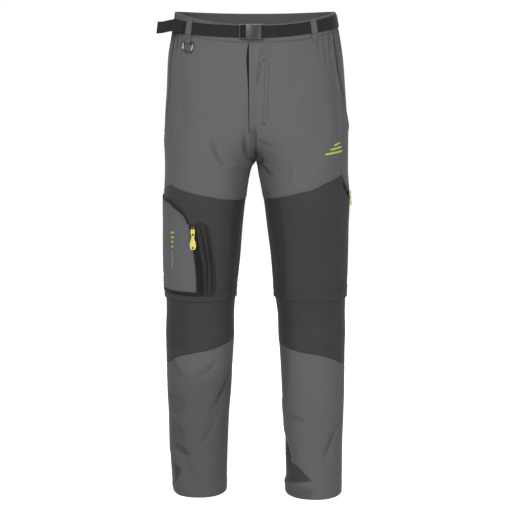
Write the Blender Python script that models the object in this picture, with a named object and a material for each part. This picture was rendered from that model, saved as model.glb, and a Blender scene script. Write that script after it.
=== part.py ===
"""Convertible zip-off hiking trousers, filled out as on a standing wearer.

Frame: the origin is the centre of the waist opening, level with the top of the waistband at the hips.
+Z is up, the front faces -Y and the wearer's left is +X.

Every cloth piece is cut from one garment surface. A place on it is given by its side (-1 for the wearer's
right, +1 for the left), by across (0 at the front centre or inseam, 0.5 at the side seam, 1 at the back
centre or inseam) and by its height. Lengths in the tables and functions are millimetres.
"""

import math
from collections import namedtuple

import bpy
import numpy as np

MM = 0.001
RIGHT = -1
LEFT = 1
SIDE_NAMES = {RIGHT: "right", LEFT: "left"}

# Cloth and seams
CLOTH = 1.6
WAISTBAND_WALL = 2.4
SEAM_GAP = 0.36
OVERLAY = 0.5

# Heights along the garment
WAIST_SEAM = -38.0
CROTCH = -310.0
FLAP_EDGE = -598.0
LEG_TOP = -584.0
KNEE_ZIP_TOP = -568.0
KNEE_ZIP_FOOT = -592.0
HEM = {RIGHT: -1029.0, LEFT: -1034.0}

# The zip-off leg starts inside the flap, by the flap's wall, the zip and their gaps
KNEE_ZIP_INSET = 1.95
KNEE_ZIP_WALL = 0.8
LEG_INSET = 3.05
INSET_FADE_FROM = -630.0
INSET_FADE_OVER = 60.0
LEG_WALL = 1.4

# Sections: half widths of the whole garment above the crotch and of each leg below it. The join is how
# far the two leg sections have come together, from 0 (one waist oval) to 1 (two legs).
Section = namedtuple(
    "Section", "height outer_right outer_left join gap_right gap_left front back side_y")
SECTIONS = [
    Section(0, 168.0, 165.0, 0.00, 0.0, 0.0, 120, 120, 0),
    Section(-42, 174.5, 172.5, 0.00, 0.0, 0.0, 123, 127, 1),
    Section(-100, 184.0, 182.0, 0.08, 0.0, 0.0, 124, 138, 3),
    Section(-160, 187.0, 187.0, 0.17, 0.0, 0.0, 123, 146, 5),
    Section(-205, 190.5, 190.5, 0.27, 0.0, 0.0, 121, 148, 6),
    Section(-245, 192.5, 194.5, 0.46, 0.0, 0.0, 119, 146, 7),
    Section(-270, 194.0, 194.5, 0.67, 0.0, 0.0, 117, 141, 8),
    Section(-290, 193.0, 194.5, 0.87, 0.0, 0.0, 116, 136, 8),
    Section(-300, 192.7, 194.5, 0.95, 0.0, 0.0, 115.5, 132, 8),
    Section(-310, 192.5, 194.5, 1.00, 0.0, 0.0, 115, 128.5, 8),
    Section(-322, 192.5, 194.5, 1.00, 8.0, 2.5, 114, 124.5, 8),
    Section(-345, 193.0, 195.5, 1.00, 14.0, 6.0, 112, 118, 7),
    Section(-394, 195.5, 199.0, 1.00, 21.0, 15.0, 107, 107, 5),
    Section(-450, 194.0, 197.0, 1.00, 27.0, 22.0, 99, 98, 3),
    Section(-515, 194.5, 196.5, 1.00, 32.0, 30.0, 91, 89, 1),
    Section(-600, 195.5, 194.5, 1.00, 41.0, 37.0, 83, 78, 0),
    Section(-650, 195.5, 193.5, 1.00, 44.5, 43.5, 79, 74, 0),
    Section(-720, 193.0, 191.0, 1.00, 48.5, 49.5, 76, 75, 0),
    Section(-800, 192.0, 191.0, 1.00, 53.0, 54.0, 74, 80, 1),
    Section(-860, 189.5, 190.0, 1.00, 58.0, 57.0, 72, 83, 2),
    Section(-930, 188.5, 188.0, 1.00, 61.0, 60.0, 71, 82, 2),
    Section(-1000, 185.5, 188.0, 1.00, 63.0, 61.5, 71, 79, 2),
    Section(-1040, 179.0, 187.0, 1.00, 64.0, 63.5, 72, 77, 2),
]
SQUARENESS = 2.2

# The waist rim dips at the front and a little at the back, and the dip fades out over the hips
FRONT_DIP = 24.0
BACK_DIP = 6.0
DIP_FADE = 180.0

# Folds: soft ridges (depth above 0) and troughs (below 0). The angle leans the fold's top towards the back.
Fold = namedtuple("Fold", "side across height angle length width depth")
FOLDS = [
    Fold(RIGHT, 0.130, -290, 8, 55, 14, -2.5),
    Fold(RIGHT, 0.300, -170, 4, 60, 16, -2.0),
    Fold(LEFT, 0.060, -318, -48, 42, 11, -3.5),
    Fold(LEFT, 0.330, -190, -8, 75, 14, -2.5),
    Fold(LEFT, 0.285, -210, -8, 80, 16, 2.0),
    Fold(RIGHT, 0.800, -352, 62, 60, 14, -4.0),
    Fold(LEFT, 0.800, -350, 62, 60, 14, -4.0),
    Fold(RIGHT, 0.700, -240, 10, 70, 18, -2.0),
    Fold(LEFT, 0.700, -235, 12, 70, 18, -2.0),
    Fold(RIGHT, 0.700, -640, 74, 60, 13, -3.5),
    Fold(RIGHT, 0.720, -680, 80, 70, 15, 3.0),
    Fold(LEFT, 0.700, -645, 76, 60, 13, -3.5),
    Fold(LEFT, 0.740, -690, 82, 65, 15, 3.0),
    Fold(RIGHT, 0.230, -655, 85, 50, 13, -2.0),
    Fold(LEFT, 0.240, -660, 80, 50, 13, -2.0),
    Fold(RIGHT, 0.130, -830, -38, 75, 14, -3.5),
    Fold(RIGHT, 0.180, -870, -35, 70, 14, 3.0),
    Fold(RIGHT, 0.360, -815, 70, 40, 13, -3.0),
    Fold(RIGHT, 0.320, -950, 20, 60, 15, -4.5),
    Fold(RIGHT, 0.390, -975, 10, 50, 13, 3.5),
    Fold(LEFT, 0.110, -950, -35, 60, 15, -6.0),
    Fold(LEFT, 0.150, -985, -55, 50, 14, 5.0),
    Fold(LEFT, 0.310, -930, -22, 60, 15, -3.5),
    Fold(LEFT, 0.080, -865, 75, 35, 12, -2.5),
    Fold(RIGHT, 0.680, -880, 30, 80, 17, -4.0),
    Fold(RIGHT, 0.780, -950, -28, 70, 16, -4.0),
    Fold(LEFT, 0.690, -890, 26, 80, 17, -4.0),
    Fold(LEFT, 0.800, -960, -30, 65, 16, -4.5),
]

# Elastic gathers at each hip
GATHER_START = 0.31
GATHER_END = 0.62
GATHER_WAVES = 9
GATHER_DEPTH = 2.4
GATHER_SAMPLES = 4
GatherStrength = namedtuple("GatherStrength", "height strength")
GATHER_STRENGTH = [
    GatherStrength(-90, 0.0),
    GatherStrength(-58, 0.65),
    GatherStrength(-38, 1.0),
    GatherStrength(-12, 0.5),
    GatherStrength(0, 0.35),
]

# Where the dark thigh panel starts, across the front of each leg
PanelEdge = namedtuple("PanelEdge", "across right left")
THIGH_TOP = [
    PanelEdge(0.00, -388, -386),
    PanelEdge(0.11, -386, -383),
    PanelEdge(0.19, -380, -373),
    PanelEdge(0.27, -370, -360),
    PanelEdge(0.32, -364, -347),
    PanelEdge(0.40, -354, -333),
    PanelEdge(0.42, -358, -355),
    PanelEdge(0.45, -362, -366),
    PanelEdge(0.50, -366, -374),
]

# Where the dark knee panel ends
KNEE_FOOT = [
    PanelEdge(0.00, -688, -701),
    PanelEdge(0.11, -694, -703),
    PanelEdge(0.19, -702, -708),
    PanelEdge(0.27, -710, -714),
    PanelEdge(0.35, -720, -726),
    PanelEdge(0.42, -736, -741),
    PanelEdge(0.50, -748, -750),
]

# Mouth of each hip pocket
Mouth = namedtuple("Mouth", "height right left")
POCKET_MOUTH = [
    Mouth(-38, 0.375, 0.345),
    Mouth(-117, 0.384, 0.347),
    Mouth(-160, 0.389, 0.385),
    Mouth(-211, 0.402, 0.450),
    Mouth(-238, 0.425, 0.484),
    Mouth(-252, 0.500, 0.500),
]
MOUTH_GAPE = 1.6

# Columns and rows of the cloth pieces
FRONT_COLUMNS = [0.0, 0.035, 0.075, 0.11, 0.15, 0.19, 0.23, 0.27, 0.32, 0.36, 0.40, 0.42, 0.45, 0.50]
BACK_COLUMNS = [0.50, 0.55, 0.60, 0.65, 0.70, 0.75, 0.80, 0.85, 0.89, 0.93, 0.965, 1.0]
FRONT_ROWS = [-38, -48, -62, -90, -125, -165, -205, -238, -252, -261, -270, -284, -295, -303, -310, -320,
              -340, -364]
BACK_ROWS = [-38, -48, -62, -90, -130, -170, -210, -242, -266, -284, -296, -304, -310, -320, -340, -370,
             -410, -455, -505, -552, -598]
GATHERED_ROWS = 3

# Fly: the wearer's left laps over the right
FLY_EDGE = -14.0
FlyRow = namedtuple("FlyRow", "height edge stitch")
FLY = [
    FlyRow(-38, -14, 30),
    FlyRow(-85, -14, 30),
    FlyRow(-125, -14, 29.5),
    FlyRow(-160, -14, 27.5),
    FlyRow(-198, -14, 22),
    FlyRow(-222, -14, 15),
    FlyRow(-236, -13.5, 6),
    FlyRow(-244, -13, -5),
]
FLY_ROWS = [-38, -60, -85, -110, -135, -160, -180, -198, -212, -224, -236, -244]
FLY_SHARES = (0.0, 0.13, 0.3, 0.5, 0.72, 1.0)
FLY_WALL = 1.2
FLY_RISE = 1.7
FLY_RISE_FROM = -9.0
FLY_RISE_OVER = 8.0
FLY_ZIP_EDGES = (-19.5, -8.5)
FLY_ZIP_WALL = 0.7
FLY_ZIP_FOOT = -216.0

# Belt: 25 mm webbing. Its top edge sits lower on the right hip, where the tail hangs.
WEBBING = 1.5
BELT_HEIGHT = 25.0
BELT_LIFT = 0.6
BELT_TOP_FRONT = -2.0
BELT_TOP_BACK = -8.0
BELT_TOP_SIDE = {RIGHT: -15.0, LEFT: -6.0}
BELT_LAYER = 1.8
STRAP_CENTRE = BELT_LIFT + WEBBING / 2
TAIL_CENTRE = STRAP_CENTRE + BELT_LAYER
SOCKET_BAR = (13.6, 4.0)
PLUG_BAR = (-25.0, 5.35)
BAR_HALF = (0.95, 1.0)
WRAP_RADIUS = 2.45
STRAP_START = 27.6
STRAP_FINISH = -41.0
TAIL_START = -37.0
TAIL_LEAVES = 0.035

# Free tail of the belt, from the front loop outwards: place in plan, top edge and drop to the foot
TailPoint = namedtuple("TailPoint", "x y top drop")
TAIL = [
    TailPoint(-162, -79, -13.0, 24.5),
    TailPoint(-177, -69, -15.6, 23.5),
    TailPoint(-191, -57, -18.8, 23.5),
    TailPoint(-201, -46, -19.4, 24.5),
]
TAIL_SLANT = 5.0

# Buckle, flat along the front: x from the centre, height from the belt's middle, lift off the waistband
BUCKLE_HALF = 16.0
BUCKLE_MIDDLE = -15.0
RAIL_INNER = 13.4
SOCKET_MOUTH = -19.1
SOCKET_WALL = -5.5
SOCKET_RAILS = 8.3
SOCKET_BACK = 2.5
SOCKET_LID = 8.8
SOCKET_FRONT = 10.2
TONGUE_HALF = 13.0
TONGUE_ROOT = (-20.9, -19.5)
TONGUE_TIP = -5.9
ADJUSTER_END = (-33.0, -30.9)

# Belt loops: across, side, width, and how far their web bridges out
LoopPlace = namedtuple("LoopPlace", "name side across width over foot")
LOOPS = [
    LoopPlace("belt_loop_front_right", RIGHT, 0.275, 17, 4.2, -45),
    LoopPlace("belt_loop_front_left", LEFT, 0.232, 16, 2.4, -46),
    LoopPlace("belt_loop_back_right", RIGHT, 0.760, 15, 2.4, -45),
    LoopPlace("belt_loop_back_centre", LEFT, 1.000, 15, 2.4, -45),
    LoopPlace("belt_loop_back_left", LEFT, 0.760, 15, 2.4, -45),
]
LOOP_WALL = 1.3
LOOP_BASE = 0.4
LOOP_CLEAR = 0.5
HALF_WAIST = 470.0

# D-ring on its tab below the right front loop
RING_ACROSS = 0.268
RING_BAR_HEIGHT = -52.0
RING_LIFT = 3.2
RING_WIRE = 1.3
RING_HALF = 12.2
RING_DROP = 19.5
RING_SHOULDER = 7.0
RING_SQUARENESS = 3.0
TAB_WIDTH = 11.0
TAB_WALL = 1.2

# Cargo pocket on the right thigh: front edge of the grey panel, and of the gusset in front of it
PocketRow = namedtuple("PocketRow", "height edge gusset")
CARGO_ROWS = [
    PocketRow(-427, 0.303, 0.240),
    PocketRow(-456, 0.292, 0.224),
    PocketRow(-504, 0.277, 0.207),
    PocketRow(-540, 0.268, 0.195),
    PocketRow(-581, 0.262, 0.188),
    PocketRow(-590, 0.261, 0.190),
]
CargoTop = namedtuple("CargoTop", "across panel")
CARGO_TOP = [
    CargoTop(0.303, -432),
    CargoTop(0.318, -415),
    CargoTop(0.365, -400),
    CargoTop(0.401, -392),
    CargoTop(0.500, -391),
    CargoTop(0.600, -394),
]
CARGO_BAND = 8.5
CARGO_BACK = 0.600
CARGO_FOOT = -577.0
GUSSET_TOP = -427.0
GUSSET_FOOT = -587.0
CARGO_ZIP_EDGES = (0.0035, 0.0265)
CARGO_ZIP_CENTRE = 0.0165
CARGO_SLIDER_HEIGHT = -439.0
POCKET_WALL = 1.4
ZIP_WALL = 0.8

# Slanted zip on the left thigh
ZipPoint = namedtuple("ZipPoint", "across top")
THIGH_ZIP = [
    ZipPoint(0.405, -349.0),
    ZipPoint(0.425, -366.0),
    ZipPoint(0.452, -376.0),
    ZipPoint(0.492, -384.0),
]
THIGH_ZIP_WIDTH = 9.0
THIGH_SLIDER = (0.442, -373.0)

# Slider and pull, in the slider's own frame: x along the hinge, y up the cloth, z outwards
SLIDER_LIFT = OVERLAY + ZIP_WALL + 0.35
SLIDER_HALF = (4.0, 5.5)
SLIDER_BODY = 2.2
BRIDGE_HALF = 0.9
BRIDGE_POST = (2.6, 4.0)
BRIDGE_LIFT = (4.1, 5.0)
HINGE_DOWN = 1.7
HINGE_LIFT = 3.15
PULL_THICK = 1.2
PULL_WINDOW = 0.38
PULL_HOLE = 0.27
PULL_ROWS = [9.0, 14.0, 20.0, 27.0, 33.0, 37.0, 41.0, 43.0]
PULL_WINDOW_ROW = 1
PULL_HOLE_ROW = 6
PullRow = namedtuple("PullRow", "down half_width")
PULL_PROFILE = [
    PullRow(-0.7, 3.4),
    PullRow(2.0, 5.0),
    PullRow(9.0, 5.0),
    PullRow(12.0, 3.9),
    PullRow(18.0, 3.5),
    PullRow(25.0, 5.4),
    PullRow(30.0, 7.2),
    PullRow(35.0, 7.5),
    PullRow(40.0, 6.4),
    PullRow(43.0, 4.0),
]

# Shares of the pull's length and width
PullSize = namedtuple("PullSize", "length width")
CARGO_PULL = PullSize(1.0, 1.0)
THIGH_PULL = PullSize(0.6, 0.85)


def clear_scene():
    for thing in list(bpy.data.objects):
        bpy.data.objects.remove(thing, do_unlink=True)


def ease(t):
    t = min(max(t, 0.0), 1.0)
    return t * t * (3.0 - 2.0 * t)


def lerp(a, b, t):
    return a + (b - a) * t


# Smooth curves through the tables, without overshoot

def curve(xs, ys):
    order = np.argsort(xs)
    xs = np.array(xs, float)[order]
    ys = np.array(ys, float)[order]
    slopes = np.diff(ys) / np.diff(xs)
    tangents = np.zeros(len(xs))
    tangents[0] = slopes[0]
    tangents[-1] = slopes[-1]
    for i in range(1, len(xs) - 1):
        if slopes[i - 1] * slopes[i] > 0:
            tangents[i] = 2 * slopes[i - 1] * slopes[i] / (slopes[i - 1] + slopes[i])

    def value(x):
        x = min(max(x, xs[0]), xs[-1])
        i = min(int(np.searchsorted(xs, x, side="right")) - 1, len(xs) - 2)
        step = xs[i + 1] - xs[i]
        t = (x - xs[i]) / step
        start = (1 + 2 * t) * (1 - t) ** 2 * ys[i] + t * (1 - t) ** 2 * step * tangents[i]
        end = t * t * (3 - 2 * t) * ys[i + 1] + t * t * (t - 1) * step * tangents[i + 1]
        return float(start + end)

    return value


def straight(xs, ys):
    order = np.argsort(xs)
    xs = np.array(xs, float)[order]
    ys = np.array(ys, float)[order]
    return lambda x: float(np.interp(x, xs, ys))


def column(table, key, value, make=curve):
    return make([getattr(row, key) for row in table], [getattr(row, value) for row in table])


SECTION = {name: column(SECTIONS, "height", name) for name in Section._fields[1:]}
GATHER = column(GATHER_STRENGTH, "height", "strength", straight)
THIGH_EDGE = {side: column(THIGH_TOP, "across", SIDE_NAMES[side], straight) for side in SIDE_NAMES}
KNEE_EDGE = {side: column(KNEE_FOOT, "across", SIDE_NAMES[side]) for side in SIDE_NAMES}
MOUTH = {side: column(POCKET_MOUTH, "height", SIDE_NAMES[side], straight) for side in SIDE_NAMES}
FLY_STITCH = column(FLY, "height", "stitch")
FLY_LAP = column(FLY, "height", "edge")
CARGO_EDGE = column(CARGO_ROWS, "height", "edge")
CARGO_GUSSET = column(CARGO_ROWS, "height", "gusset")
CARGO_PANEL_TOP = column(CARGO_TOP, "across", "panel")
PULL_WIDTH = column(PULL_PROFILE, "down", "half_width")


# The garment surface

def leg_shape(side, height):
    """Centre and half width of this side's section, and how far the sections have joined."""
    which = SIDE_NAMES[side]
    outer = SECTION["outer_" + which](height)
    if height > CROTCH:
        join = SECTION["join"](height)
        half = outer / (1.0 + join)
        return half * join, half, join
    gap = SECTION["gap_" + which](height)
    return (outer + gap) / 2, (outer - gap) / 2, 1.0


def open_angle(join):
    """Angle from the side seam to the centre plane, or to the inseam below the crotch."""
    return math.pi if join >= 1.0 else math.acos(-(join ** (SQUARENESS / 2)))


def bulge(value):
    return math.copysign(abs(value) ** (2.0 / SQUARENESS), value)


def bare_point(side, angle, height):
    centre, half, _ = leg_shape(side, height)
    side_y = SECTION["side_y"](height)
    sine = math.sin(angle)
    x = side * (centre + half * bulge(math.cos(angle)))
    if sine > 0:
        y = side_y - (SECTION["front"](height) + side_y) * bulge(sine)
    else:
        y = side_y + (SECTION["back"](height) - side_y) * bulge(-sine)
    dip = (FRONT_DIP if sine > 0 else BACK_DIP) * sine * sine
    return np.array([x, y, height - dip * (1.0 - ease(-height / DIP_FADE))])


def angle_at(side, across, height):
    return open_angle(leg_shape(side, height)[2]) * (1.0 - 2.0 * across)


def across_at(x, height):
    """Across of the front point at this x."""
    side = LEFT if x >= 0 else RIGHT
    centre, half, join = leg_shape(side, height)
    value = (abs(x) - centre) / half
    cosine = math.copysign(abs(value) ** (SQUARENESS / 2), value)
    return side, max(0.0, 0.5 * (1.0 - math.acos(cosine) / open_angle(join)))


def normal_at(side, angle, height):
    turn = 0.004
    rise = 0.5
    along = bare_point(side, angle + turn, height) - bare_point(side, angle - turn, height)
    up = bare_point(side, angle, height + rise) - bare_point(side, angle, height - rise)
    normal = np.cross(along, up)
    normal /= np.linalg.norm(normal)
    centre = leg_shape(side, height)[0]
    here = bare_point(side, angle, height)
    outward = np.array([here[0] - side * centre, here[1] - SECTION["side_y"](height), 0.0])
    return normal if np.dot(normal, outward) > 0 else -normal


def fold_depth(side, across, height):
    depth = 0.0
    _, half, join = leg_shape(side, height)
    radius = (half + (SECTION["front"](height) + SECTION["back"](height)) / 2) / 2
    girth = 2.0 * open_angle(join) * radius
    for fold in FOLDS:
        if fold.side != side:
            continue
        away = across - fold.across
        if join >= 1.0:
            away = (away + 0.5) % 1.0 - 0.5
        away *= girth
        rise = height - fold.height
        lean = math.radians(fold.angle)
        along = rise * math.cos(lean) + away * math.sin(lean)
        aside = away * math.cos(lean) - rise * math.sin(lean)
        depth += fold.depth * math.exp(-(along / fold.length) ** 2 - (aside / fold.width) ** 2)
    return depth


def gather_depth(across, height):
    place = (across - GATHER_START) / (GATHER_END - GATHER_START)
    if not 0.0 < place < 1.0:
        return 0.0
    wave = place * GATHER_WAVES
    uneven = 0.8 + 0.2 * math.sin(2.3 * math.floor(wave) + 0.7)
    return -GATHER_DEPTH * uneven * GATHER(height) * 0.5 * (1.0 - math.cos(2.0 * math.pi * wave))


def place(side, across, height, off=0.0, folded=True):
    """A point of the garment, moved out of its surface by off."""
    angle = angle_at(side, across, height)
    if folded:
        off = off + fold_depth(side, across, height) + gather_depth(across, height)
    return bare_point(side, angle, height) + normal_at(side, angle, height) * off


def front_place(x, height, off):
    side, across = across_at(x, height)
    return place(side, across, height, off, folded=False)


def surface_frame(side, across, height, off):
    """Origin and axes at a point: along the cloth, up the cloth, and outwards."""
    angle = angle_at(side, across, height)
    out = normal_at(side, angle, height)
    along = bare_point(side, angle, height) - bare_point(side, angle + 0.01, height)
    along *= side / np.linalg.norm(along)
    up = np.cross(out, along)
    return place(side, across, height, off, folded=False), along, up, out


# Mesh building

def new_object(name, points, faces, material, origin=(0.0, 0.0, 0.0), smooth=True):
    origin = np.array(origin, float)
    mesh = bpy.data.meshes.new(name)
    mesh.from_pydata([tuple((np.array(p) - origin) * MM) for p in points], [], faces)
    mesh.validate()
    if smooth:
        mesh.shade_smooth()
        mesh.set_sharp_from_angle(angle=math.radians(40))
    thing = bpy.data.objects.new(name, mesh)
    thing.location = tuple(origin * MM)
    thing.data.materials.append(material)
    bpy.context.scene.collection.objects.link(thing)
    return thing


def make_material(name, colour, roughness, metallic=0.0):
    material = bpy.data.materials.new(name)
    material.use_nodes = True
    shader = material.node_tree.nodes["Principled BSDF"]
    shader.inputs["Base Color"].default_value = (*colour, 1.0)
    shader.inputs["Roughness"].default_value = roughness
    shader.inputs["Metallic"].default_value = metallic
    material.diffuse_color = (*colour, 1.0)
    return material


def outward_faces(points, faces):
    """Turn all faces over if the closed mesh they bound is inside out."""
    volume = 0.0
    for face in faces:
        first = np.array(points[face[0]])
        for i in range(1, len(face) - 1):
            volume += np.dot(first, np.cross(points[face[i]], points[face[i + 1]]))
    return faces if volume > 0 else [tuple(reversed(face)) for face in faces]


class Row:
    """One row of a cloth wall: its across values, outer points and inner points."""

    def __init__(self, stations, wall):
        self.keys = [station[0] for station in stations]
        self.outer = [place(*station[1]) for station in stations]
        self.inner = [place(*shifted(station[1], -wall)) for station in stations]

    def nearest(self, key):
        return min(range(len(self.keys)), key=lambda i: abs(self.keys[i] - key))


def shifted(station, off):
    side, across, height, lift = station[:4]
    return (side, across, height, lift + off, *station[4:])


def pulled(point, towards, tangent, distance):
    direction = towards - point
    length = np.linalg.norm(tangent)
    if length > 0:
        tangent = tangent / length
        direction = direction - tangent * np.dot(direction, tangent)
    return point + direction / np.linalg.norm(direction) * distance


def pull_seams(rows):
    """Draw every edge of the piece in by half the seam gap."""
    half = SEAM_GAP / 2
    for name in ("outer", "inner"):
        layers = [[p.copy() for p in getattr(row, name)] for row in rows]
        for end, next_row in ((0, 1), (-1, -2)):
            layer = layers[end]
            for j, key in enumerate(rows[end].keys):
                inwards = layers[next_row][rows[next_row].nearest(key)]
                tangent = layer[min(j + 1, len(layer) - 1)] - layer[max(j - 1, 0)]
                getattr(rows[end], name)[j] = pulled(layer[j], inwards, tangent, half)
        for i, row in enumerate(rows):
            above = layers[max(i - 1, 0)]
            below = layers[min(i + 1, len(rows) - 1)]
            for end, inner_end in ((0, 1), (-1, -2)):
                tangent = below[end] - above[end]
                moved = pulled(layers[i][end], layers[i][inner_end], tangent, half)
                getattr(row, name)[end] = getattr(row, name)[end] + moved - layers[i][end]


def keep_to_side(rows, side):
    """Hold a half's points off the centre plane by half the seam gap."""
    for row in rows:
        for layer in (row.outer, row.inner):
            for point in layer:
                point[0] = side * max(side * point[0], SEAM_GAP / 2)


def stitch(upper, lower, upper_start, lower_start):
    """Faces between two rows, which may have different numbers of points."""
    if len(upper.keys) == len(lower.keys):
        return [(upper_start + j, lower_start + j, lower_start + j + 1, upper_start + j + 1)
                for j in range(len(upper.keys) - 1)]
    faces = []
    i = 0
    j = 0
    while i < len(upper.keys) - 1 or j < len(lower.keys) - 1:
        more_upper = i < len(upper.keys) - 1
        more_lower = j < len(lower.keys) - 1
        if more_upper and (not more_lower or upper.keys[i + 1] <= lower.keys[j + 1]):
            faces.append((upper_start + i, lower_start + j, upper_start + i + 1))
            i += 1
        else:
            faces.append((upper_start + i, lower_start + j, lower_start + j + 1))
            j += 1
    return faces


def wall_object(name, rows, material):
    """A closed cloth wall from its rows, top to bottom."""
    starts = []
    points = []
    for row in rows:
        starts.append(len(points))
        points.extend(row.outer)
    inner_shift = len(points)
    for row in rows:
        points.extend(row.inner)
    faces = []
    for i in range(len(rows) - 1):
        for face in stitch(rows[i], rows[i + 1], starts[i], starts[i + 1]):
            faces.append(face)
            faces.append(tuple(k + inner_shift for k in reversed(face)))
    rim = [starts[0] + j for j in range(len(rows[0].keys))]
    rim += [starts[i] + len(rows[i].keys) - 1 for i in range(1, len(rows))]
    rim += [starts[-1] + j for j in range(len(rows[-1].keys) - 2, -1, -1)]
    rim += [starts[i] for i in range(len(rows) - 2, 0, -1)]
    for k, start in enumerate(rim):
        end = rim[(k + 1) % len(rim)]
        faces.append((start, end, end + inner_shift, start + inner_shift))
    return new_object(name, points, outward_faces(points, faces), material)


def cloth(name, stations, wall, material, side=None):
    rows = [Row(row, wall) for row in stations]
    pull_seams(rows)
    if side is not None:
        keep_to_side(rows, side)
    return wall_object(name, rows, material)


def sheet_rows(side, columns, top, foot, levels, off=None):
    """Rows between two edges, given as functions of across, at these fractions of the way down."""
    rows = []
    for level in levels:
        row = []
        for across in columns:
            height = lerp(top(across), foot(across), level)
            lift = off(across, height) if off else 0.0
            row.append((across, (side, across, height, lift)))
        rows.append(row)
    return rows


def even(count):
    return [i / count for i in range(count + 1)]


def gather_columns(start, end):
    step = (GATHER_END - GATHER_START) / (GATHER_WAVES * GATHER_SAMPLES)
    marks = [GATHER_START + i * step for i in range(GATHER_WAVES * GATHER_SAMPLES + 1)]
    return [mark for mark in marks if start + 0.003 < mark < end - 0.003]


def with_gathers(columns, start, end):
    plain = [c for c in columns if start < c < end and not GATHER_START <= c <= GATHER_END]
    return [start] + sorted(plain + gather_columns(start, end)) + [end]


# Cloth pieces

def front_levels(side):
    """Rows of the front panel: how far down each lies, and the across and height of its outer end."""
    foot = THIGH_EDGE[side]
    levels = []
    for at_centre in FRONT_ROWS + [foot(0.0)]:
        level = (at_centre - WAIST_SEAM) / (foot(0.0) - WAIST_SEAM)
        end = 0.5
        for _ in range(8):
            end = MOUTH[side](lerp(WAIST_SEAM, foot(end), level))
        levels.append((level, end, lerp(WAIST_SEAM, foot(end), level)))
    return levels


def front_panel(side, material):
    foot = THIGH_EDGE[side]
    rows = []
    for number, (level, end, _) in enumerate(front_levels(side)):
        if number < GATHERED_ROWS:
            columns = with_gathers(FRONT_COLUMNS, 0.0, end)
        else:
            columns = [c for c in FRONT_COLUMNS if c < end - 0.012] + [end]
        row = []
        for across in columns:
            gape = MOUTH_GAPE * ease(1.0 - (end - across) / 0.03) if end < 0.499 else 0.0
            row.append((across, (side, across, lerp(WAIST_SEAM, foot(across), level), gape)))
        rows.append(row)
    return cloth("front_" + SIDE_NAMES[side], rows, CLOTH, material, side)


def hip_facing(side, material):
    """Fills in between the pocket mouth and the side seam, down to the mouth's foot."""
    levels = front_levels(side)
    mouth = [(end, height) for _, end, height in levels if end < 0.499]
    below = levels[len(mouth)]
    foot = [lerp(a, b, 0.8) for a, b in zip(mouth[-1], (below[1], below[2]))]
    rows = []
    for number, (start, height) in enumerate(mouth + [foot]):
        if number < GATHERED_ROWS:
            columns = with_gathers(FRONT_COLUMNS, start, 0.5)
        else:
            columns = [lerp(start, 0.5, f) for f in (0.0, 0.34, 0.67, 1.0)]
        rows.append([(across, (side, across, height, 0.0)) for across in columns])
    return cloth("hip_facing_" + SIDE_NAMES[side], rows, CLOTH, material, side)


def back_panel(side, material):
    rows = []
    for number, height in enumerate(BACK_ROWS):
        columns = with_gathers(BACK_COLUMNS, 0.5, 1.0) if number < GATHERED_ROWS else BACK_COLUMNS
        rows.append([(across, (side, across, height, 0.0)) for across in columns])
    return cloth("back_" + SIDE_NAMES[side], rows, CLOTH, material, side)


def leg_off(height):
    return -LEG_INSET * (1.0 - ease((INSET_FADE_FROM - height) / INSET_FADE_OVER))


def leg_panels(side, grey, dark):
    name = SIDE_NAMES[side]

    def lift(_, height):
        return leg_off(height)

    thigh = sheet_rows(side, FRONT_COLUMNS, THIGH_EDGE[side], lambda _: FLAP_EDGE, even(7))
    cloth("thigh_" + name, thigh, CLOTH, dark, side)
    knee = sheet_rows(side, FRONT_COLUMNS, lambda _: LEG_TOP, KNEE_EDGE[side], even(6), lift)
    cloth("knee_" + name, knee, LEG_WALL, dark, side)
    shin = sheet_rows(side, FRONT_COLUMNS, KNEE_EDGE[side], lambda _: HEM[side], even(13), lift)
    cloth("shin_" + name, shin, LEG_WALL, grey, side)
    calf = sheet_rows(side, BACK_COLUMNS, lambda _: LEG_TOP, lambda _: HEM[side], even(16), lift)
    cloth("calf_" + name, calf, LEG_WALL, grey, side)


def knee_zip(side, material):
    columns = FRONT_COLUMNS + BACK_COLUMNS[1:]
    rows = [[(across, (side, across, height, -KNEE_ZIP_INSET)) for across in columns]
            for height in (KNEE_ZIP_TOP, KNEE_ZIP_FOOT)]
    cloth("knee_zip_" + SIDE_NAMES[side], rows, KNEE_ZIP_WALL, material, side)


def waistband_piece(name, stations, material):
    rows = []
    for height in (0.0, -12.0, WAIST_SEAM):
        rows.append([(key, (side, across, height, 0.0)) for key, side, across in stations])
    cloth(name, rows, WAISTBAND_WALL, material)


def waistband(material):
    seam = {loop.side: loop.across for loop in LOOPS if "front" in loop.name}
    lap = across_at(FLY_EDGE, 0.0)[1]
    for side in (RIGHT, LEFT):
        columns = [c for c in FRONT_COLUMNS if c < seam[side] - 0.01] + [seam[side]]
        stations = [(c, side, c) for c in columns]
        if side == RIGHT:
            stations[0] = (0.0, RIGHT, lap)
        else:
            stations.insert(0, (-lap, RIGHT, lap))
        waistband_piece("waistband_front_" + SIDE_NAMES[side], stations, material)
    right = with_gathers(BACK_COLUMNS, seam[RIGHT], 1.0)
    left = with_gathers([0.27] + BACK_COLUMNS, seam[LEFT], 1.0)[:-1]
    stations = [(c, RIGHT, c) for c in right] + [(2.0 - c, LEFT, c) for c in reversed(left)]
    waistband_piece("waistband_back", stations, material)


# Fly

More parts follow.
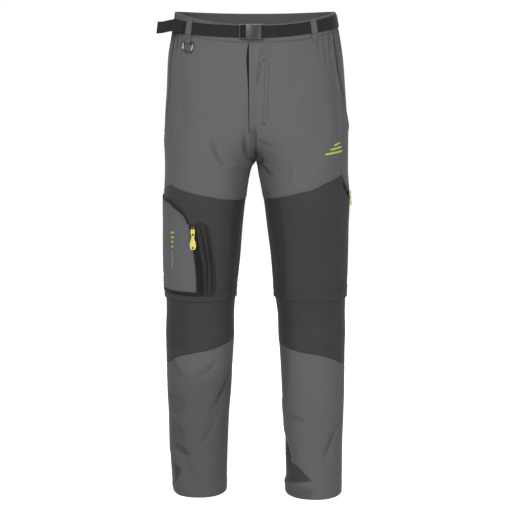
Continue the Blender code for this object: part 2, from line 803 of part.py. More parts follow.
def fly(cloth_material, tape_material):
    rows = []
    for height in FLY_ROWS:
        row = []
        for share in FLY_SHARES:
            x = lerp(FLY_LAP(height), FLY_STITCH(height), share)
            side, across = across_at(x, height)
            rise = FLY_RISE * (1.0 - ease((x - FLY_RISE_FROM) / FLY_RISE_OVER))
            row.append((x, (side, across, height, OVERLAY + FLY_WALL + rise, False)))
        rows.append(row)
    cloth("fly_flap", rows, FLY_WALL, cloth_material)
    rows = []
    for height in FLY_ROWS:
        if height < FLY_ZIP_FOOT:
            continue
        row = []
        for x in (FLY_ZIP_EDGES[0], sum(FLY_ZIP_EDGES) / 2, FLY_ZIP_EDGES[1]):
            side, across = across_at(x, height)
            row.append((x, (side, across, height, OVERLAY + FLY_ZIP_WALL, False)))
        rows.append(row)
    cloth("fly_zip", rows, FLY_ZIP_WALL, tape_material)


# Belt

def belt_top(side, across):
    sine = math.sin(math.pi / 2 * (1.0 - 2.0 * across))
    middle = BELT_TOP_FRONT if across < 0.5 else BELT_TOP_BACK
    return middle * sine * sine + BELT_TOP_SIDE[side] * (1.0 - sine * sine)


def ribbon_object(name, stations, material):
    """A closed strap. Each station has its inner and outer edges, each as a top and a foot point."""
    points = [corner for station in stations for corner in station]
    faces = [(0, 1, 2, 3)]
    for i in range(len(stations) - 1):
        for j in range(4):
            k = (j + 1) % 4
            faces.append((4 * i + j, 4 * i + 4 + j, 4 * i + 4 + k, 4 * i + k))
    last = 4 * (len(stations) - 1)
    faces.append((last + 3, last + 2, last + 1, last))
    return new_object(name, points, outward_faces(points, faces), material)


def thicken(path, thickness):
    """Left and right edges of a plan path, mitred at its corners."""
    edges = []
    for i, here in enumerate(path):
        before = np.array(path[max(i - 1, 0)])
        after = np.array(path[min(i + 1, len(path) - 1)])
        here = np.array(here)
        first = (here - before) if i > 0 else (after - here)
        second = (after - here) if i < len(path) - 1 else (here - before)
        first = first / np.linalg.norm(first)
        second = second / np.linalg.norm(second)
        tangent = (first + second) / np.linalg.norm(first + second)
        side = np.array([-tangent[1], tangent[0]]) * thickness / 2
        mitre = 1.0 / max(np.dot(tangent, first), 0.7)
        edges.append((here + side * mitre, here - side * mitre))
    return edges


def arc(centre, radius, start, end, count):
    """Points round an arc, angles in degrees."""
    turn = [math.radians(lerp(start, end, i / count)) for i in range(count + 1)]
    return [(centre[0] + radius * math.cos(a), centre[1] + radius * math.sin(a)) for a in turn]


def socket_end_path():
    """The folded end of the strap, round the socket's bar, seen from above: x and lift."""
    x, lift = SOCKET_BAR
    path = [(46.0, TAIL_CENTRE), (34.0, TAIL_CENTRE), (24.0, TAIL_CENTRE + 0.4), (18.5, lift + 1.4)]
    path += arc((x, lift + 0.1), WRAP_RADIUS + 0.1, 75, 270, 7)
    return path + [(19.0, STRAP_CENTRE)]


def plug_end_path():
    """The strap through the adjuster, round its middle bar, and back out as the tail."""
    x, lift = PLUG_BAR
    path = [(x - 7.5, STRAP_CENTRE), (x - 1.5, STRAP_CENTRE), (x + 1.0, STRAP_CENTRE + 0.6)]
    path += arc(PLUG_BAR, WRAP_RADIUS, -30, 180, 8)
    return path + [(x - 2.9, lift - 1.3), (x - 4.5, TAIL_CENTRE + 0.35), (x - 7.0, TAIL_CENTRE)]


def mapped_ribbon(path):
    stations = []
    for inner, outer in thicken(path, WEBBING):
        corners = []
        for x, lift in (inner, outer):
            top = belt_top(*across_at(x, BUCKLE_MIDDLE))
            corners.append((front_place(x, top, lift), front_place(x, top - BELT_HEIGHT, lift)))
        stations.append((corners[0][0], corners[0][1], corners[1][1], corners[1][0]))
    return stations


def run_station(side, across, centre):
    top = belt_top(side, across)
    inner = centre - WEBBING / 2
    outer = centre + WEBBING / 2
    return [place(side, across, top, inner, False), place(side, across, top - BELT_HEIGHT, inner, False),
            place(side, across, top - BELT_HEIGHT, outer, False), place(side, across, top, outer, False)]


def belt(material):
    # From the folded end at the socket round the left hip and the back to the right hip
    stations = mapped_ribbon(socket_end_path())
    start = across_at(STRAP_START, BUCKLE_MIDDLE)[1]
    finish = across_at(STRAP_FINISH, BUCKLE_MIDDLE)[1]
    left_run = [run_station(LEFT, a, STRAP_CENTRE) for a in spaced(start, 1.0)]
    right_run = [run_station(RIGHT, a, STRAP_CENTRE) for a in spaced(1.0, finish)[1:]]
    stations += matched(stations[-1], left_run + right_run)
    # Through the adjuster, then over the strap to the front loop
    stations += matched(stations[-1], mapped_ribbon(plug_end_path()))
    begin = across_at(TAIL_START, BUCKLE_MIDDLE)[1]
    run = [run_station(RIGHT, a, TAIL_CENTRE) for a in spaced(begin, LOOPS[0].across + TAIL_LEAVES)]
    stations += matched(stations[-1], run)
    stations += matched(stations[-1], free_tail())
    return ribbon_object("belt_strap", stations, material)


def spaced(start, end):
    count = max(2, round(abs(end - start) / 0.025))
    return [lerp(start, end, i / count) for i in range(count + 1)]


def same_way(first, second):
    """Whether two stations list their inner and outer edges in the same order."""
    straight_on = np.linalg.norm(first[0] - second[0]) + np.linalg.norm(first[3] - second[3])
    crossed = np.linalg.norm(first[0] - second[3]) + np.linalg.norm(first[3] - second[0])
    return straight_on < crossed


def matched(last, stations):
    if same_way(last, stations[0]):
        return stations
    return [[corners[k] for k in (3, 2, 1, 0)] for corners in stations]


def free_tail():
    stations = []
    plan = [(point.x, point.y) for point in TAIL]
    for number, ((left, right), point) in enumerate(zip(thicken(plan, WEBBING), TAIL)):
        inner, outer = (left, right) if left[1] > right[1] else (right, left)
        slant = TAIL_SLANT if number == len(TAIL) - 1 else 0.0
        slip = (plan[-1][0] - plan[-2][0], plan[-1][1] - plan[-2][1])
        reach = slant / math.hypot(*slip)
        foot_shift = np.array([slip[0] * reach, slip[1] * reach])
        corners = []
        for edge in (inner, outer):
            low = np.array(edge) + foot_shift
            corners.append((np.array([edge[0], edge[1], point.top]),
                            np.array([low[0], low[1], point.top - point.drop])))
        stations.append([corners[0][0], corners[0][1], corners[1][1], corners[1][0]])
    return stations


# Blocks of cells, for the buckle, the sliders and the pulls

def block_mesh(xs, ys, zs, filled):
    """The closed boundary of the filled cells of a grid."""
    index = {}
    points = []
    faces = []

    def corner(i, j, k):
        if (i, j, k) not in index:
            index[(i, j, k)] = len(points)
            points.append((xs[i], ys[j], zs[k]))
        return index[(i, j, k)]

    def solid(i, j, k):
        inside = 0 <= i < len(xs) - 1 and 0 <= j < len(ys) - 1 and 0 <= k < len(zs) - 1
        return inside and filled(i, j, k)

    for i in range(len(xs) - 1):
        for j in range(len(ys) - 1):
            for k in range(len(zs) - 1):
                if not solid(i, j, k):
                    continue
                cell = {(a, b, c): (i + a, j + b, k + c) for a in (0, 1) for b in (0, 1) for c in (0, 1)}
                for axis in range(3):
                    for end in (0, 1):
                        step = [0, 0, 0]
                        step[axis] = 1 if end else -1
                        if solid(i + step[0], j + step[1], k + step[2]):
                            continue
                        ring = []
                        for b, c in ((0, 0), (1, 0), (1, 1), (0, 1)):
                            key = [b, c]
                            key.insert(axis, end)
                            ring.append(corner(*cell[tuple(key)]))
                        flip = (end == 0) != (axis == 1)
                        faces.append(tuple(reversed(ring)) if flip else tuple(ring))
    return points, faces


def buckle(material):
    bar, lift = SOCKET_BAR
    along, across = BAR_HALF
    xs = [SOCKET_MOUTH, SOCKET_WALL, SOCKET_RAILS, bar - along, bar + along]
    ys = [-BUCKLE_HALF, -RAIL_INNER, RAIL_INNER, BUCKLE_HALF]
    zs = [SOCKET_BACK, lift - across, lift + across, SOCKET_LID, SOCKET_FRONT]

    def socket_cell(i, j, k):
        between_rails = j == 1
        if i == 0:
            return not between_rails or k in (0, 3)
        if i == 1:
            return True
        if i == 2:
            return not between_rails and k in (1, 2)
        return k == 1 or (not between_rails and k == 2)

    mapped_block("buckle_socket", xs, ys, zs, socket_cell, material)
    bar, lift = PLUG_BAR
    xs = [*ADJUSTER_END, bar - along, bar + along, *TONGUE_ROOT, TONGUE_TIP]
    ys = [-BUCKLE_HALF, -TONGUE_HALF, TONGUE_HALF, BUCKLE_HALF]
    zs = [lift - across, lift + across]

    def plug_cell(i, j, _):
        if i in (1, 3):
            return j != 1
        return i != 5 or j == 1

    mapped_block("buckle_plug", xs, ys, zs, plug_cell, material)


def mapped_block(name, xs, ys, zs, filled, material):
    points, faces = block_mesh(xs, ys, zs, filled)
    points = [front_place(x, BUCKLE_MIDDLE + y, z) for x, y, z in points]
    return new_object(name, points, outward_faces(points, faces), material, smooth=False)


def belt_loop(item, material):
    base = LOOP_BASE + LOOP_WALL
    over = item.over + LOOP_WALL
    rise = (over - base) * 0.85
    head = belt_top(item.side, item.across) + LOOP_CLEAR
    foot = head - BELT_HEIGHT - 2.0 * LOOP_CLEAR
    profile = [(0.0, base), (min(-0.4, head + rise), base), (head, over), (foot, over),
               (foot - rise, base), (item.foot, base)]
    half = item.width / 2 / HALF_WAIST
    rows = []
    for height, lift in profile:
        row = []
        for share in (-1.0, -0.5, 0.0, 0.5, 1.0):
            key = item.across + share * half
            past_centre = key > 1.0
            side = -item.side if past_centre else item.side
            across = 2.0 - key if past_centre else key
            row.append((key, (side, across, height, lift, False)))
        rows.append(row)
    return cloth(item.name, rows, LOOP_WALL, material)


# D-ring and its tab

def ring_tab(material):
    centre = (RING_BAR_HEIGHT, RING_LIFT)
    wrap = RING_WIRE + 0.3 + TAB_WALL / 2
    near = RING_LIFT - wrap
    path = [(-45.5, near), (-49.0, near)] + arc(centre, wrap, 270, 62, 9)
    path += [(-46.2, near + TAB_WALL + 0.45)]
    origin, along, up, out = surface_frame(RIGHT, RING_ACROSS, RING_BAR_HEIGHT, RING_LIFT)
    half = along * TAB_WIDTH / 2
    stations = []
    for edges in thicken(path, TAB_WALL):
        inner, outer = (origin + up * (height - centre[0]) + out * (lift - centre[1])
                        for height, lift in edges)
        stations.append((inner - half, inner + half, outer + half, outer - half))
    ribbon_object("ring_tab", stations, material)


def d_ring(material):
    origin, along, up, out = surface_frame(RIGHT, RING_ACROSS, RING_BAR_HEIGHT, RING_LIFT)
    reach = RING_HALF - 2.5
    path = [(-reach, 0.0), (-reach / 2, 0.0), (0.0, 0.0), (reach / 2, 0.0)]
    path += [(reach, 0.0), (RING_HALF - 0.6, -0.7), (RING_HALF, -2.6)]
    power = 2.0 / RING_SQUARENESS
    for degrees in range(0, 181, 20):
        a = math.radians(degrees)
        sideways = RING_HALF * math.copysign(abs(math.cos(a)) ** power, math.cos(a))
        down = RING_SHOULDER + (RING_DROP - RING_SHOULDER) * abs(math.sin(a)) ** power
        path.append((sideways, -down))
    path += [(-RING_HALF, -2.6), (-RING_HALF + 0.6, -0.7)]
    points = []
    sides = 8
    for i, here in enumerate(path):
        before = np.array(path[i - 1])
        after = np.array(path[(i + 1) % len(path)])
        tangent = (after - before) / np.linalg.norm(after - before)
        outward = np.array([tangent[1], -tangent[0]])
        for k in range(sides):
            a = 2.0 * math.pi * (k + 0.5) / sides
            flat = np.array(here) + outward * RING_WIRE * math.cos(a)
            points.append(origin + along * flat[0] + up * flat[1] + out * RING_WIRE * math.sin(a))
    faces = []
    for i in range(len(path)):
        n = (i + 1) % len(path)
        for k in range(sides):
            m = (k + 1) % sides
            faces.append((sides * i + k, sides * i + m, sides * n + m, sides * n + k))
    return new_object("d_ring", points, outward_faces(points, faces), material, origin)


# Cargo pocket

def pocket_patch(name, corners, off, material, wall=POCKET_WALL, across_steps=8, down_steps=8):
    """A patch lying on the right thigh. corners(s, t) gives across and height."""
    rows = []
    for t in even(down_steps):
        row = []
        for s in even(across_steps):
            across, height = corners(s, t)
            row.append((s, (RIGHT, across, height, off(s, t) + wall, False)))
        rows.append(row)
    cloth(name, rows, wall, material)


def puff(height):
    return lambda s, t: OVERLAY + height * math.sin(math.pi * s) ** 0.6 * math.sin(math.pi * t) ** 0.6


def cargo_pocket(grey, black, tape):
    def panel(s, t):
        top_across = lerp(CARGO_EDGE(-432.0), CARGO_BACK, s)
        height = lerp(CARGO_PANEL_TOP(top_across), CARGO_FOOT, t)
        return lerp(CARGO_EDGE(height), CARGO_BACK, s), height

    pocket_patch("cargo_panel", panel, puff(2.6), grey, across_steps=16, down_steps=6)

    def band(s, t):
        across, height = panel(s, 0.0)
        return across, height + CARGO_BAND * (1.0 - t)

    pocket_patch("cargo_band", band, lambda s, t: OVERLAY + 0.4, black, across_steps=16, down_steps=1)

    def gusset(s, t):
        foot = GUSSET_FOOT + 9.0 * (ease(1.0 - s / 0.22) + 0.7 * ease((s - 0.86) / 0.14))
        height = lerp(GUSSET_TOP, foot, t)
        return lerp(CARGO_GUSSET(height), CARGO_EDGE(height) - 0.030, s), height

    pocket_patch("cargo_gusset", gusset, puff(1.8), black, across_steps=6, down_steps=7)

    def tape_corners(s, t):
        height = lerp(GUSSET_TOP - 5.0, CARGO_FOOT, t)
        return CARGO_EDGE(height) - lerp(CARGO_ZIP_EDGES[1], CARGO_ZIP_EDGES[0], s), height

    pocket_patch("cargo_zip", tape_corners, lambda s, t: OVERLAY, tape, ZIP_WALL, 2, 6)


def thigh_zip(tape):
    rows = []
    for number in range(3):
        row = []
        for across, top in THIGH_ZIP:
            height = top - THIGH_ZIP_WIDTH * number / 2
            row.append((across, (LEFT, across, height, OVERLAY + ZIP_WALL, False)))
        rows.append(row)
    cloth("thigh_zip_left", rows, ZIP_WALL, tape)


def slider_and_pull(prefix, suffix, frame, size, metal, bright):
    origin, along, up, out = frame

    def world(x, y, z):
        return origin + along * x + up * y + out * z

    half_x, half_y = SLIDER_HALF
    inner, outer = BRIDGE_POST
    xs = [-half_x, -BRIDGE_HALF, BRIDGE_HALF, half_x]
    ys = [-half_y, -outer, -inner, inner, outer, half_y]
    zs = [0.0, SLIDER_BODY, *BRIDGE_LIFT]

    def slider_cell(i, j, k):
        if k == 0:
            return True
        if i != 1:
            return False
        return j in (1, 3) if k == 1 else j in (1, 2, 3)

    points, faces = block_mesh(xs, ys, zs, slider_cell)
    points = [world(*p) for p in points]
    new_object(prefix + "slider" + suffix, points, outward_faces(points, faces), metal, smooth=False)

    # The pull hangs straight down where the cloth falls away below it, and on the cloth elsewhere
    hinge = world(0.0, -HINGE_DOWN, HINGE_LIFT)
    plumb = along * along[2] - np.array([0.0, 0.0, 1.0])
    down = plumb / np.linalg.norm(plumb) if np.dot(plumb, out) > 0 else -up
    face = np.cross(down, along)
    bar = PULL_THICK / 2
    xs = [-1.0, -PULL_WINDOW, -PULL_HOLE, PULL_HOLE, PULL_WINDOW, 1.0]
    ys = [-bar, bar] + [row * size.length for row in PULL_ROWS]

    def pull_cell(i, j, _):
        if j == PULL_WINDOW_ROW:
            return i in (0, 4)
        return j != PULL_HOLE_ROW or i != 2

    points, faces = block_mesh(xs, ys, [-bar, bar], pull_cell)
    shaped = []
    for x, y, z in points:
        half = size.width * PULL_WIDTH(y / size.length)
        shaped.append(hinge + along * x * half + down * y + face * z)
    new_object(prefix + "pull" + suffix, shaped, outward_faces(shaped, faces), bright, hinge, smooth=False)


def main():
    clear_scene()
    grey = make_material("grey_cloth", (0.127, 0.133, 0.138), 0.85)
    dark = make_material("dark_cloth", (0.050, 0.050, 0.051), 0.85)
    black = make_material("black_cloth", (0.020, 0.020, 0.021), 0.8)
    tape = make_material("zip_tape", (0.012, 0.012, 0.013), 0.7)
    webbing = make_material("webbing", (0.018, 0.019, 0.021), 0.75)
    plastic = make_material("black_plastic", (0.03, 0.03, 0.032), 0.35)
    metal = make_material("dark_metal", (0.10, 0.10, 0.105), 0.3, 0.9)
    bright = make_material("yellow_rubber", (0.87, 0.74, 0.12), 0.5)

    waistband(grey)
    for side in (RIGHT, LEFT):
        front_panel(side, grey)
        hip_facing(side, grey)
        back_panel(side, grey)
        leg_panels(side, grey, dark)
        knee_zip(side, tape)
    fly(grey, tape)
    belt(webbing)
    buckle(plastic)
    for item in LOOPS:
        belt_loop(item, grey)
    ring_tab(grey)
    d_ring(metal)
    cargo_pocket(grey, black, tape)
    thigh_zip(tape)
    across = CARGO_EDGE(CARGO_SLIDER_HEIGHT) - CARGO_ZIP_CENTRE
    cargo_frame = surface_frame(RIGHT, across, CARGO_SLIDER_HEIGHT, SLIDER_LIFT)
    slider_and_pull("cargo_", "", cargo_frame, CARGO_PULL, metal, bright)
    thigh_frame = surface_frame(LEFT, *THIGH_SLIDER, SLIDER_LIFT)
    slider_and_pull("thigh_", "_left", thigh_frame, THIGH_PULL, metal, bright)


if __name__ == "__main__":
    main()
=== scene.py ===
"""Looks of the convertible zip-off trousers: cloth, stitching, zips, belt and hardware on the CAD frame.

Lengths in the tables are millimetres and colours are linear. A place on the garment is given by its side
(-1 for the wearer's right, +1 for the left), by across (0 at the front centre or inseam, 0.5 at the side
seam, 1 at the back centre or inseam) and by its height.
"""

from __future__ import annotations

import logging
import math
from collections.abc import Callable, Sequence
from dataclasses import dataclass, field
from enum import Enum

import bmesh
import bpy
import numpy as np
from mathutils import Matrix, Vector

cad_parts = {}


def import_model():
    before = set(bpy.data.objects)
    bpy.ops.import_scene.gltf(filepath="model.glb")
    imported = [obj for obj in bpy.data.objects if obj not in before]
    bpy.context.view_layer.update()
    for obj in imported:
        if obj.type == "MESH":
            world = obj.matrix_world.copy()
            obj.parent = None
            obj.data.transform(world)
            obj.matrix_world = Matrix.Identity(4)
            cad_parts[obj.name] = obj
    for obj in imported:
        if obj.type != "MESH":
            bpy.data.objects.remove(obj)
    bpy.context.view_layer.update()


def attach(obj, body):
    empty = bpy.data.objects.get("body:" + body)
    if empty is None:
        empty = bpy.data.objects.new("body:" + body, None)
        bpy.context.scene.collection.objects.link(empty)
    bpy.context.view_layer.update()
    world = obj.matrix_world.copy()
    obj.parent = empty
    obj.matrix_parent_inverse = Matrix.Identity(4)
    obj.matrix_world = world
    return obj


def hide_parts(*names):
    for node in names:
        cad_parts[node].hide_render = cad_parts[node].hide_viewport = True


LOG = logging.getLogger("trousers")

MM = 0.001
RIGHT = -1.0
LEFT = 1.0
SIDES = {"right": RIGHT, "left": LEFT}

# Heights along the garment
WAIST_SEAM = -38.0
CROTCH = -310.0
FLAP_EDGE = -598.0
LEG_TOP = -584.0
KNEE_ZIP_TOP = -568.0
KNEE_ZIP_FOOT = -592.0
HEM = {"right": -1029.0, "left": -1034.0}

# Walls and layers
CLOTH = 1.3
LINED_BAND = 2.4
OVERLAY = 0.5
KNEE_ZIP_INSET = 1.95
LEG_INSET = 3.05
INSET_FADE_FROM = -630.0
INSET_FADE_OVER = 60.0

# Cell size of the cloth, of its gathers, and the finer cells beside its edges
CELL = 3.2
FINE_CELL = 1.3
EDGE_CELLS = (0.0, 0.6, 1.3, 2.2, 3.6)

# The narrowest flat cut, in metres
NARROWEST = 0.0102

# Power of the sections' rounded outline
SQUARENESS = 2.2

# How far the waist dips at the front and the back, and the height over which the dips fade
FRONT_DIP = 24.0
BACK_DIP = 6.0
DIP_FADE = 180.0

# Cloth from the front centre to the back centre at the waist
HALF_WAIST = 470.0

# Brings the peak of a crease's step to 1, and the power by which creases fade to their ends
STEP_SCALE = 2.33
CREASE_FADE = 1.2

SECTION_NAMES = "height outer_right outer_left join gap_right gap_left front back side_y".split()
SECTIONS = (
    (0, 168.0, 165.0, 0.00, 0.0, 0.0, 120, 120, 0),
    (-42, 174.5, 172.5, 0.00, 0.0, 0.0, 123, 127, 1),
    (-100, 184.0, 182.0, 0.08, 0.0, 0.0, 124, 138, 3),
    (-160, 187.0, 187.0, 0.17, 0.0, 0.0, 123, 146, 5),
    (-205, 190.5, 190.5, 0.27, 0.0, 0.0, 121, 148, 6),
    (-245, 192.5, 194.5, 0.46, 0.0, 0.0, 119, 146, 7),
    (-270, 194.0, 194.5, 0.67, 0.0, 0.0, 117, 141, 8),
    (-290, 193.0, 194.5, 0.87, 0.0, 0.0, 116, 136, 8),
    (-300, 192.7, 194.5, 0.95, 0.0, 0.0, 115.5, 132, 8),
    (-310, 192.5, 194.5, 1.00, 0.0, 0.0, 115, 128.5, 8),
    (-322, 192.5, 194.5, 1.00, 8.0, 2.5, 114, 124.5, 8),
    (-345, 193.0, 195.5, 1.00, 14.0, 6.0, 112, 118, 7),
    (-394, 195.5, 199.0, 1.00, 21.0, 15.0, 107, 107, 5),
    (-450, 194.0, 197.0, 1.00, 27.0, 22.0, 99, 98, 3),
    (-515, 194.5, 196.5, 1.00, 32.0, 30.0, 91, 89, 1),
    (-600, 195.5, 194.5, 1.00, 41.0, 37.0, 83, 78, 0),
    (-650, 195.5, 193.5, 1.00, 44.5, 43.5, 79, 74, 0),
    (-720, 193.0, 191.0, 1.00, 48.5, 49.5, 76, 75, 0),
    (-800, 192.0, 191.0, 1.00, 53.0, 54.0, 74, 80, 1),
    (-860, 189.5, 190.0, 1.00, 58.0, 57.0, 72, 83, 2),
    (-930, 188.5, 188.0, 1.00, 61.0, 60.0, 71, 82, 2),
    (-1000, 185.5, 188.0, 1.00, 63.0, 61.5, 71, 79, 2),
    (-1040, 179.0, 187.0, 1.00, 64.0, 63.5, 72, 77, 2),
)


@dataclass(frozen=True)
class Fold:
    """A soft ridge (depth above 0) or trough (below 0). The angle leans its top towards the back."""

    side: float
    across: float
    height: float
    angle: float
    length: float
    width: float
    depth: float


FOLDS = (
    Fold(RIGHT, 0.130, -290, 8, 55, 14, -2.5),
    Fold(RIGHT, 0.300, -170, 4, 60, 16, -2.0),
    Fold(LEFT, 0.060, -318, -48, 42, 11, -3.5),
    Fold(LEFT, 0.330, -190, -8, 75, 14, -2.5),
    Fold(LEFT, 0.285, -210, -8, 80, 16, 2.0),
    Fold(RIGHT, 0.800, -352, 62, 60, 14, -4.0),
    Fold(LEFT, 0.800, -350, 62, 60, 14, -4.0),
    Fold(RIGHT, 0.700, -240, 10, 70, 18, -2.0),
    Fold(LEFT, 0.700, -235, 12, 70, 18, -2.0),
    Fold(RIGHT, 0.700, -640, 74, 60, 13, -3.5),
    Fold(RIGHT, 0.720, -680, 80, 70, 15, 3.0),
    Fold(LEFT, 0.700, -645, 76, 60, 13, -3.5),
    Fold(LEFT, 0.740, -690, 82, 65, 15, 3.0),
    Fold(RIGHT, 0.230, -655, 85, 50, 13, -2.0),
    Fold(LEFT, 0.240, -660, 80, 50, 13, -2.0),
    Fold(RIGHT, 0.130, -830, -38, 75, 14, -3.5),
    Fold(RIGHT, 0.180, -870, -35, 70, 14, 3.0),
    Fold(RIGHT, 0.360, -815, 70, 40, 13, -3.0),
    Fold(RIGHT, 0.320, -950, 20, 60, 15, -4.5),
    Fold(RIGHT, 0.390, -975, 10, 50, 13, 3.5),
    Fold(LEFT, 0.110, -950, -35, 60, 15, -6.0),
    Fold(LEFT, 0.150, -985, -55, 50, 14, 5.0),
    Fold(LEFT, 0.310, -930, -22, 60, 15, -3.5),
    Fold(LEFT, 0.080, -865, 75, 35, 12, -2.5),
    Fold(RIGHT, 0.680, -880, 30, 80, 17, -4.0),
    Fold(RIGHT, 0.780, -950, -28, 70, 16, -4.0),
    Fold(LEFT, 0.690, -890, 26, 80, 17, -4.0),
    Fold(LEFT, 0.800, -960, -30, 65, 16, -4.5),
)


@dataclass(frozen=True)
class Crease:
    """A crease along a line from start to end, each an across and a height.

    The step is how much of the depth is a step to the line's right instead of a trough along it.
    """

    side: float
    start: tuple[float, float]
    end: tuple[float, float]
    width: float
    depth: float
    step: float = 0.0
    bow: float = 0.0


CREASES = (
    # Front of the thighs and the crotch
    Crease(RIGHT, (0.159, -236), (0.224, -323), 6, -3.6, 0.3, 6.5),
    Crease(RIGHT, (0.046, -230), (0.066, -312), 6, -4.2, 0.15),
    Crease(RIGHT, (0.010, -275), (0.075, -345), 5, -2.2, 0.0),
    Crease(LEFT, (-0.004, -256), (0.108, -271), 3.2, -3.2, 0.25, 3),
    Crease(LEFT, (0.008, -282), (0.160, -335), 8, -5.6, 0.4, 4),
    Crease(LEFT, (0.226, -300), (0.190, -355), 6, -2.6, 0.4),
    Crease(LEFT, (0.060, -335), (0.115, -400), 9, -2.0, 0.3),
    Crease(RIGHT, (0.300, -150), (0.385, -300), 4.5, 1.6, 0.6, 4),
    Crease(RIGHT, (0.335, -120), (0.430, -350), 4, -1.5, 0.3, 5),
    Crease(LEFT, (0.300, -60), (0.372, -215), 4.5, -1.5, 0.5, -4),
    Crease(LEFT, (0.270, -80), (0.350, -300), 7, 1.4, 0.4, -6),
    Crease(RIGHT, (0.060, -60), (0.045, -190), 9, -0.9),
    Crease(LEFT, (0.130, -60), (0.115, -200), 9, -0.9),
    # Short folds below the elastic at each hip
    Crease(LEFT, (0.258, -38), (0.246, -76), 3.4, -2.4, 0.4),
    Crease(LEFT, (0.292, -36), (0.284, -98), 3.2, -3.0, 0.4),
    Crease(LEFT, (0.325, -38), (0.320, -82), 3.2, -3.0, 0.4),
    Crease(LEFT, (0.360, -38), (0.358, -90), 3.2, -3.0, 0.4),
    Crease(RIGHT, (0.290, -38), (0.282, -84), 3.2, -2.6, 0.4),
    Crease(RIGHT, (0.325, -38), (0.322, -94), 3.2, -3.0, 0.4),
    Crease(RIGHT, (0.360, -38), (0.358, -86), 3.2, -3.0, 0.4),
    # Flap and thigh panels
    Crease(RIGHT, (0.050, -420), (0.075, -590), 9, -1.4, 0.3),
    Crease(LEFT, (0.060, -420), (0.080, -590), 9, -1.4, 0.3),
    Crease(LEFT, (0.300, -420), (0.330, -560), 10, -1.3, 0.3),
    Crease(RIGHT, (0.110, -560), (0.190, -597), 6, -1.0, 0.3),
    Crease(LEFT, (0.340, -555), (0.230, -596), 6, -1.2, 0.3),
    # Knees and shins
    Crease(LEFT, (0.188, -620), (0.215, -705), 4.5, -1.3, 0.5),
    Crease(LEFT, (0.170, -622), (0.200, -700), 3.5, 0.8, 0.2),
    Crease(RIGHT, (0.110, -622), (0.150, -690), 6, -1.0, 0.3),
    Crease(RIGHT, (0.050, -735), (0.200, -846), 9.5, -4.6, 0.15, 5),
    Crease(RIGHT, (0.105, -825), (0.292, -942), 11, -3.9, 0.2, -4),
    Crease(RIGHT, (0.150, -716), (0.312, -776), 7, -3.0, 0.35, 4),
    Crease(RIGHT, (0.440, -752), (0.300, -776), 6, -1.6, 0.4),
    Crease(RIGHT, (0.290, -935), (0.140, -941), 4, -1.6, 0.5),
    Crease(RIGHT, (0.336, -962), (0.388, -1016), 3, 2.6, 0.2),
    Crease(LEFT, (0.395, -872), (0.305, -956), 8, -3.8, 0.4, 3),
    Crease(LEFT, (0.080, -847), (0.240, -860), 6, -2.2, 0.5),
    # Seat and the backs of the knees and calves
    Crease(RIGHT, (0.985, -285), (0.730, -385), 8, -3.6, 0.4, 8),
    Crease(LEFT, (0.985, -285), (0.740, -380), 8, -3.6, 0.4, 8),
    Crease(RIGHT, (0.970, -320), (0.800, -430), 7, -2.4, 0.3, 6),
    Crease(LEFT, (0.965, -325), (0.790, -440), 7, -2.2, 0.3, 6),
    Crease(RIGHT, (0.560, -120), (0.600, -330), 9, -1.4, 0.4, 6),
    Crease(LEFT, (0.560, -110), (0.610, -320), 9, -1.4, 0.4, 6),
    Crease(RIGHT, (0.900, -615), (0.560, -668), 7, -3.0, 0.5, 8),
    Crease(RIGHT, (0.930, -655), (0.620, -700), 7, -2.8, 0.5, -6),
    Crease(LEFT, (0.910, -618), (0.570, -662), 7, -3.0, 0.5, 8),
    Crease(LEFT, (0.930, -660), (0.610, -706), 7, -2.8, 0.5, -6),
    Crease(RIGHT, (0.600, -730), (0.850, -790), 9, -2.4, 0.4, 8),
    Crease(LEFT, (0.590, -735), (0.840, -800), 9, -2.4, 0.4, 8),
    Crease(RIGHT, (0.560, -820), (0.760, -930), 8, -2.8, 0.4, -8),
    Crease(LEFT, (0.560, -830), (0.760, -940), 8, -2.8, 0.4, -8),
    Crease(RIGHT, (0.930, -860), (0.700, -985), 8, -2.6, 0.5, 8),
    Crease(LEFT, (0.930, -870), (0.700, -990), 8, -2.6, 0.5, 8),
    Crease(RIGHT, (0.640, -960), (0.900, -1010), 6, -2.2, 0.5, 4),
    Crease(LEFT, (0.640, -968), (0.900, -1012), 6, -2.2, 0.5, 4),
)


@dataclass(frozen=True)
class Hollow:
    """A flat facet pressed into the cloth between corners, each an across and a height.

    Each corner also has how softly the edge from it to the next corner fades. The tone is how much painted
    shade darkens the facet's cloth.
    """

    side: float
    corners: tuple[tuple[float, float, float], ...]
    depth: float
    tone: float


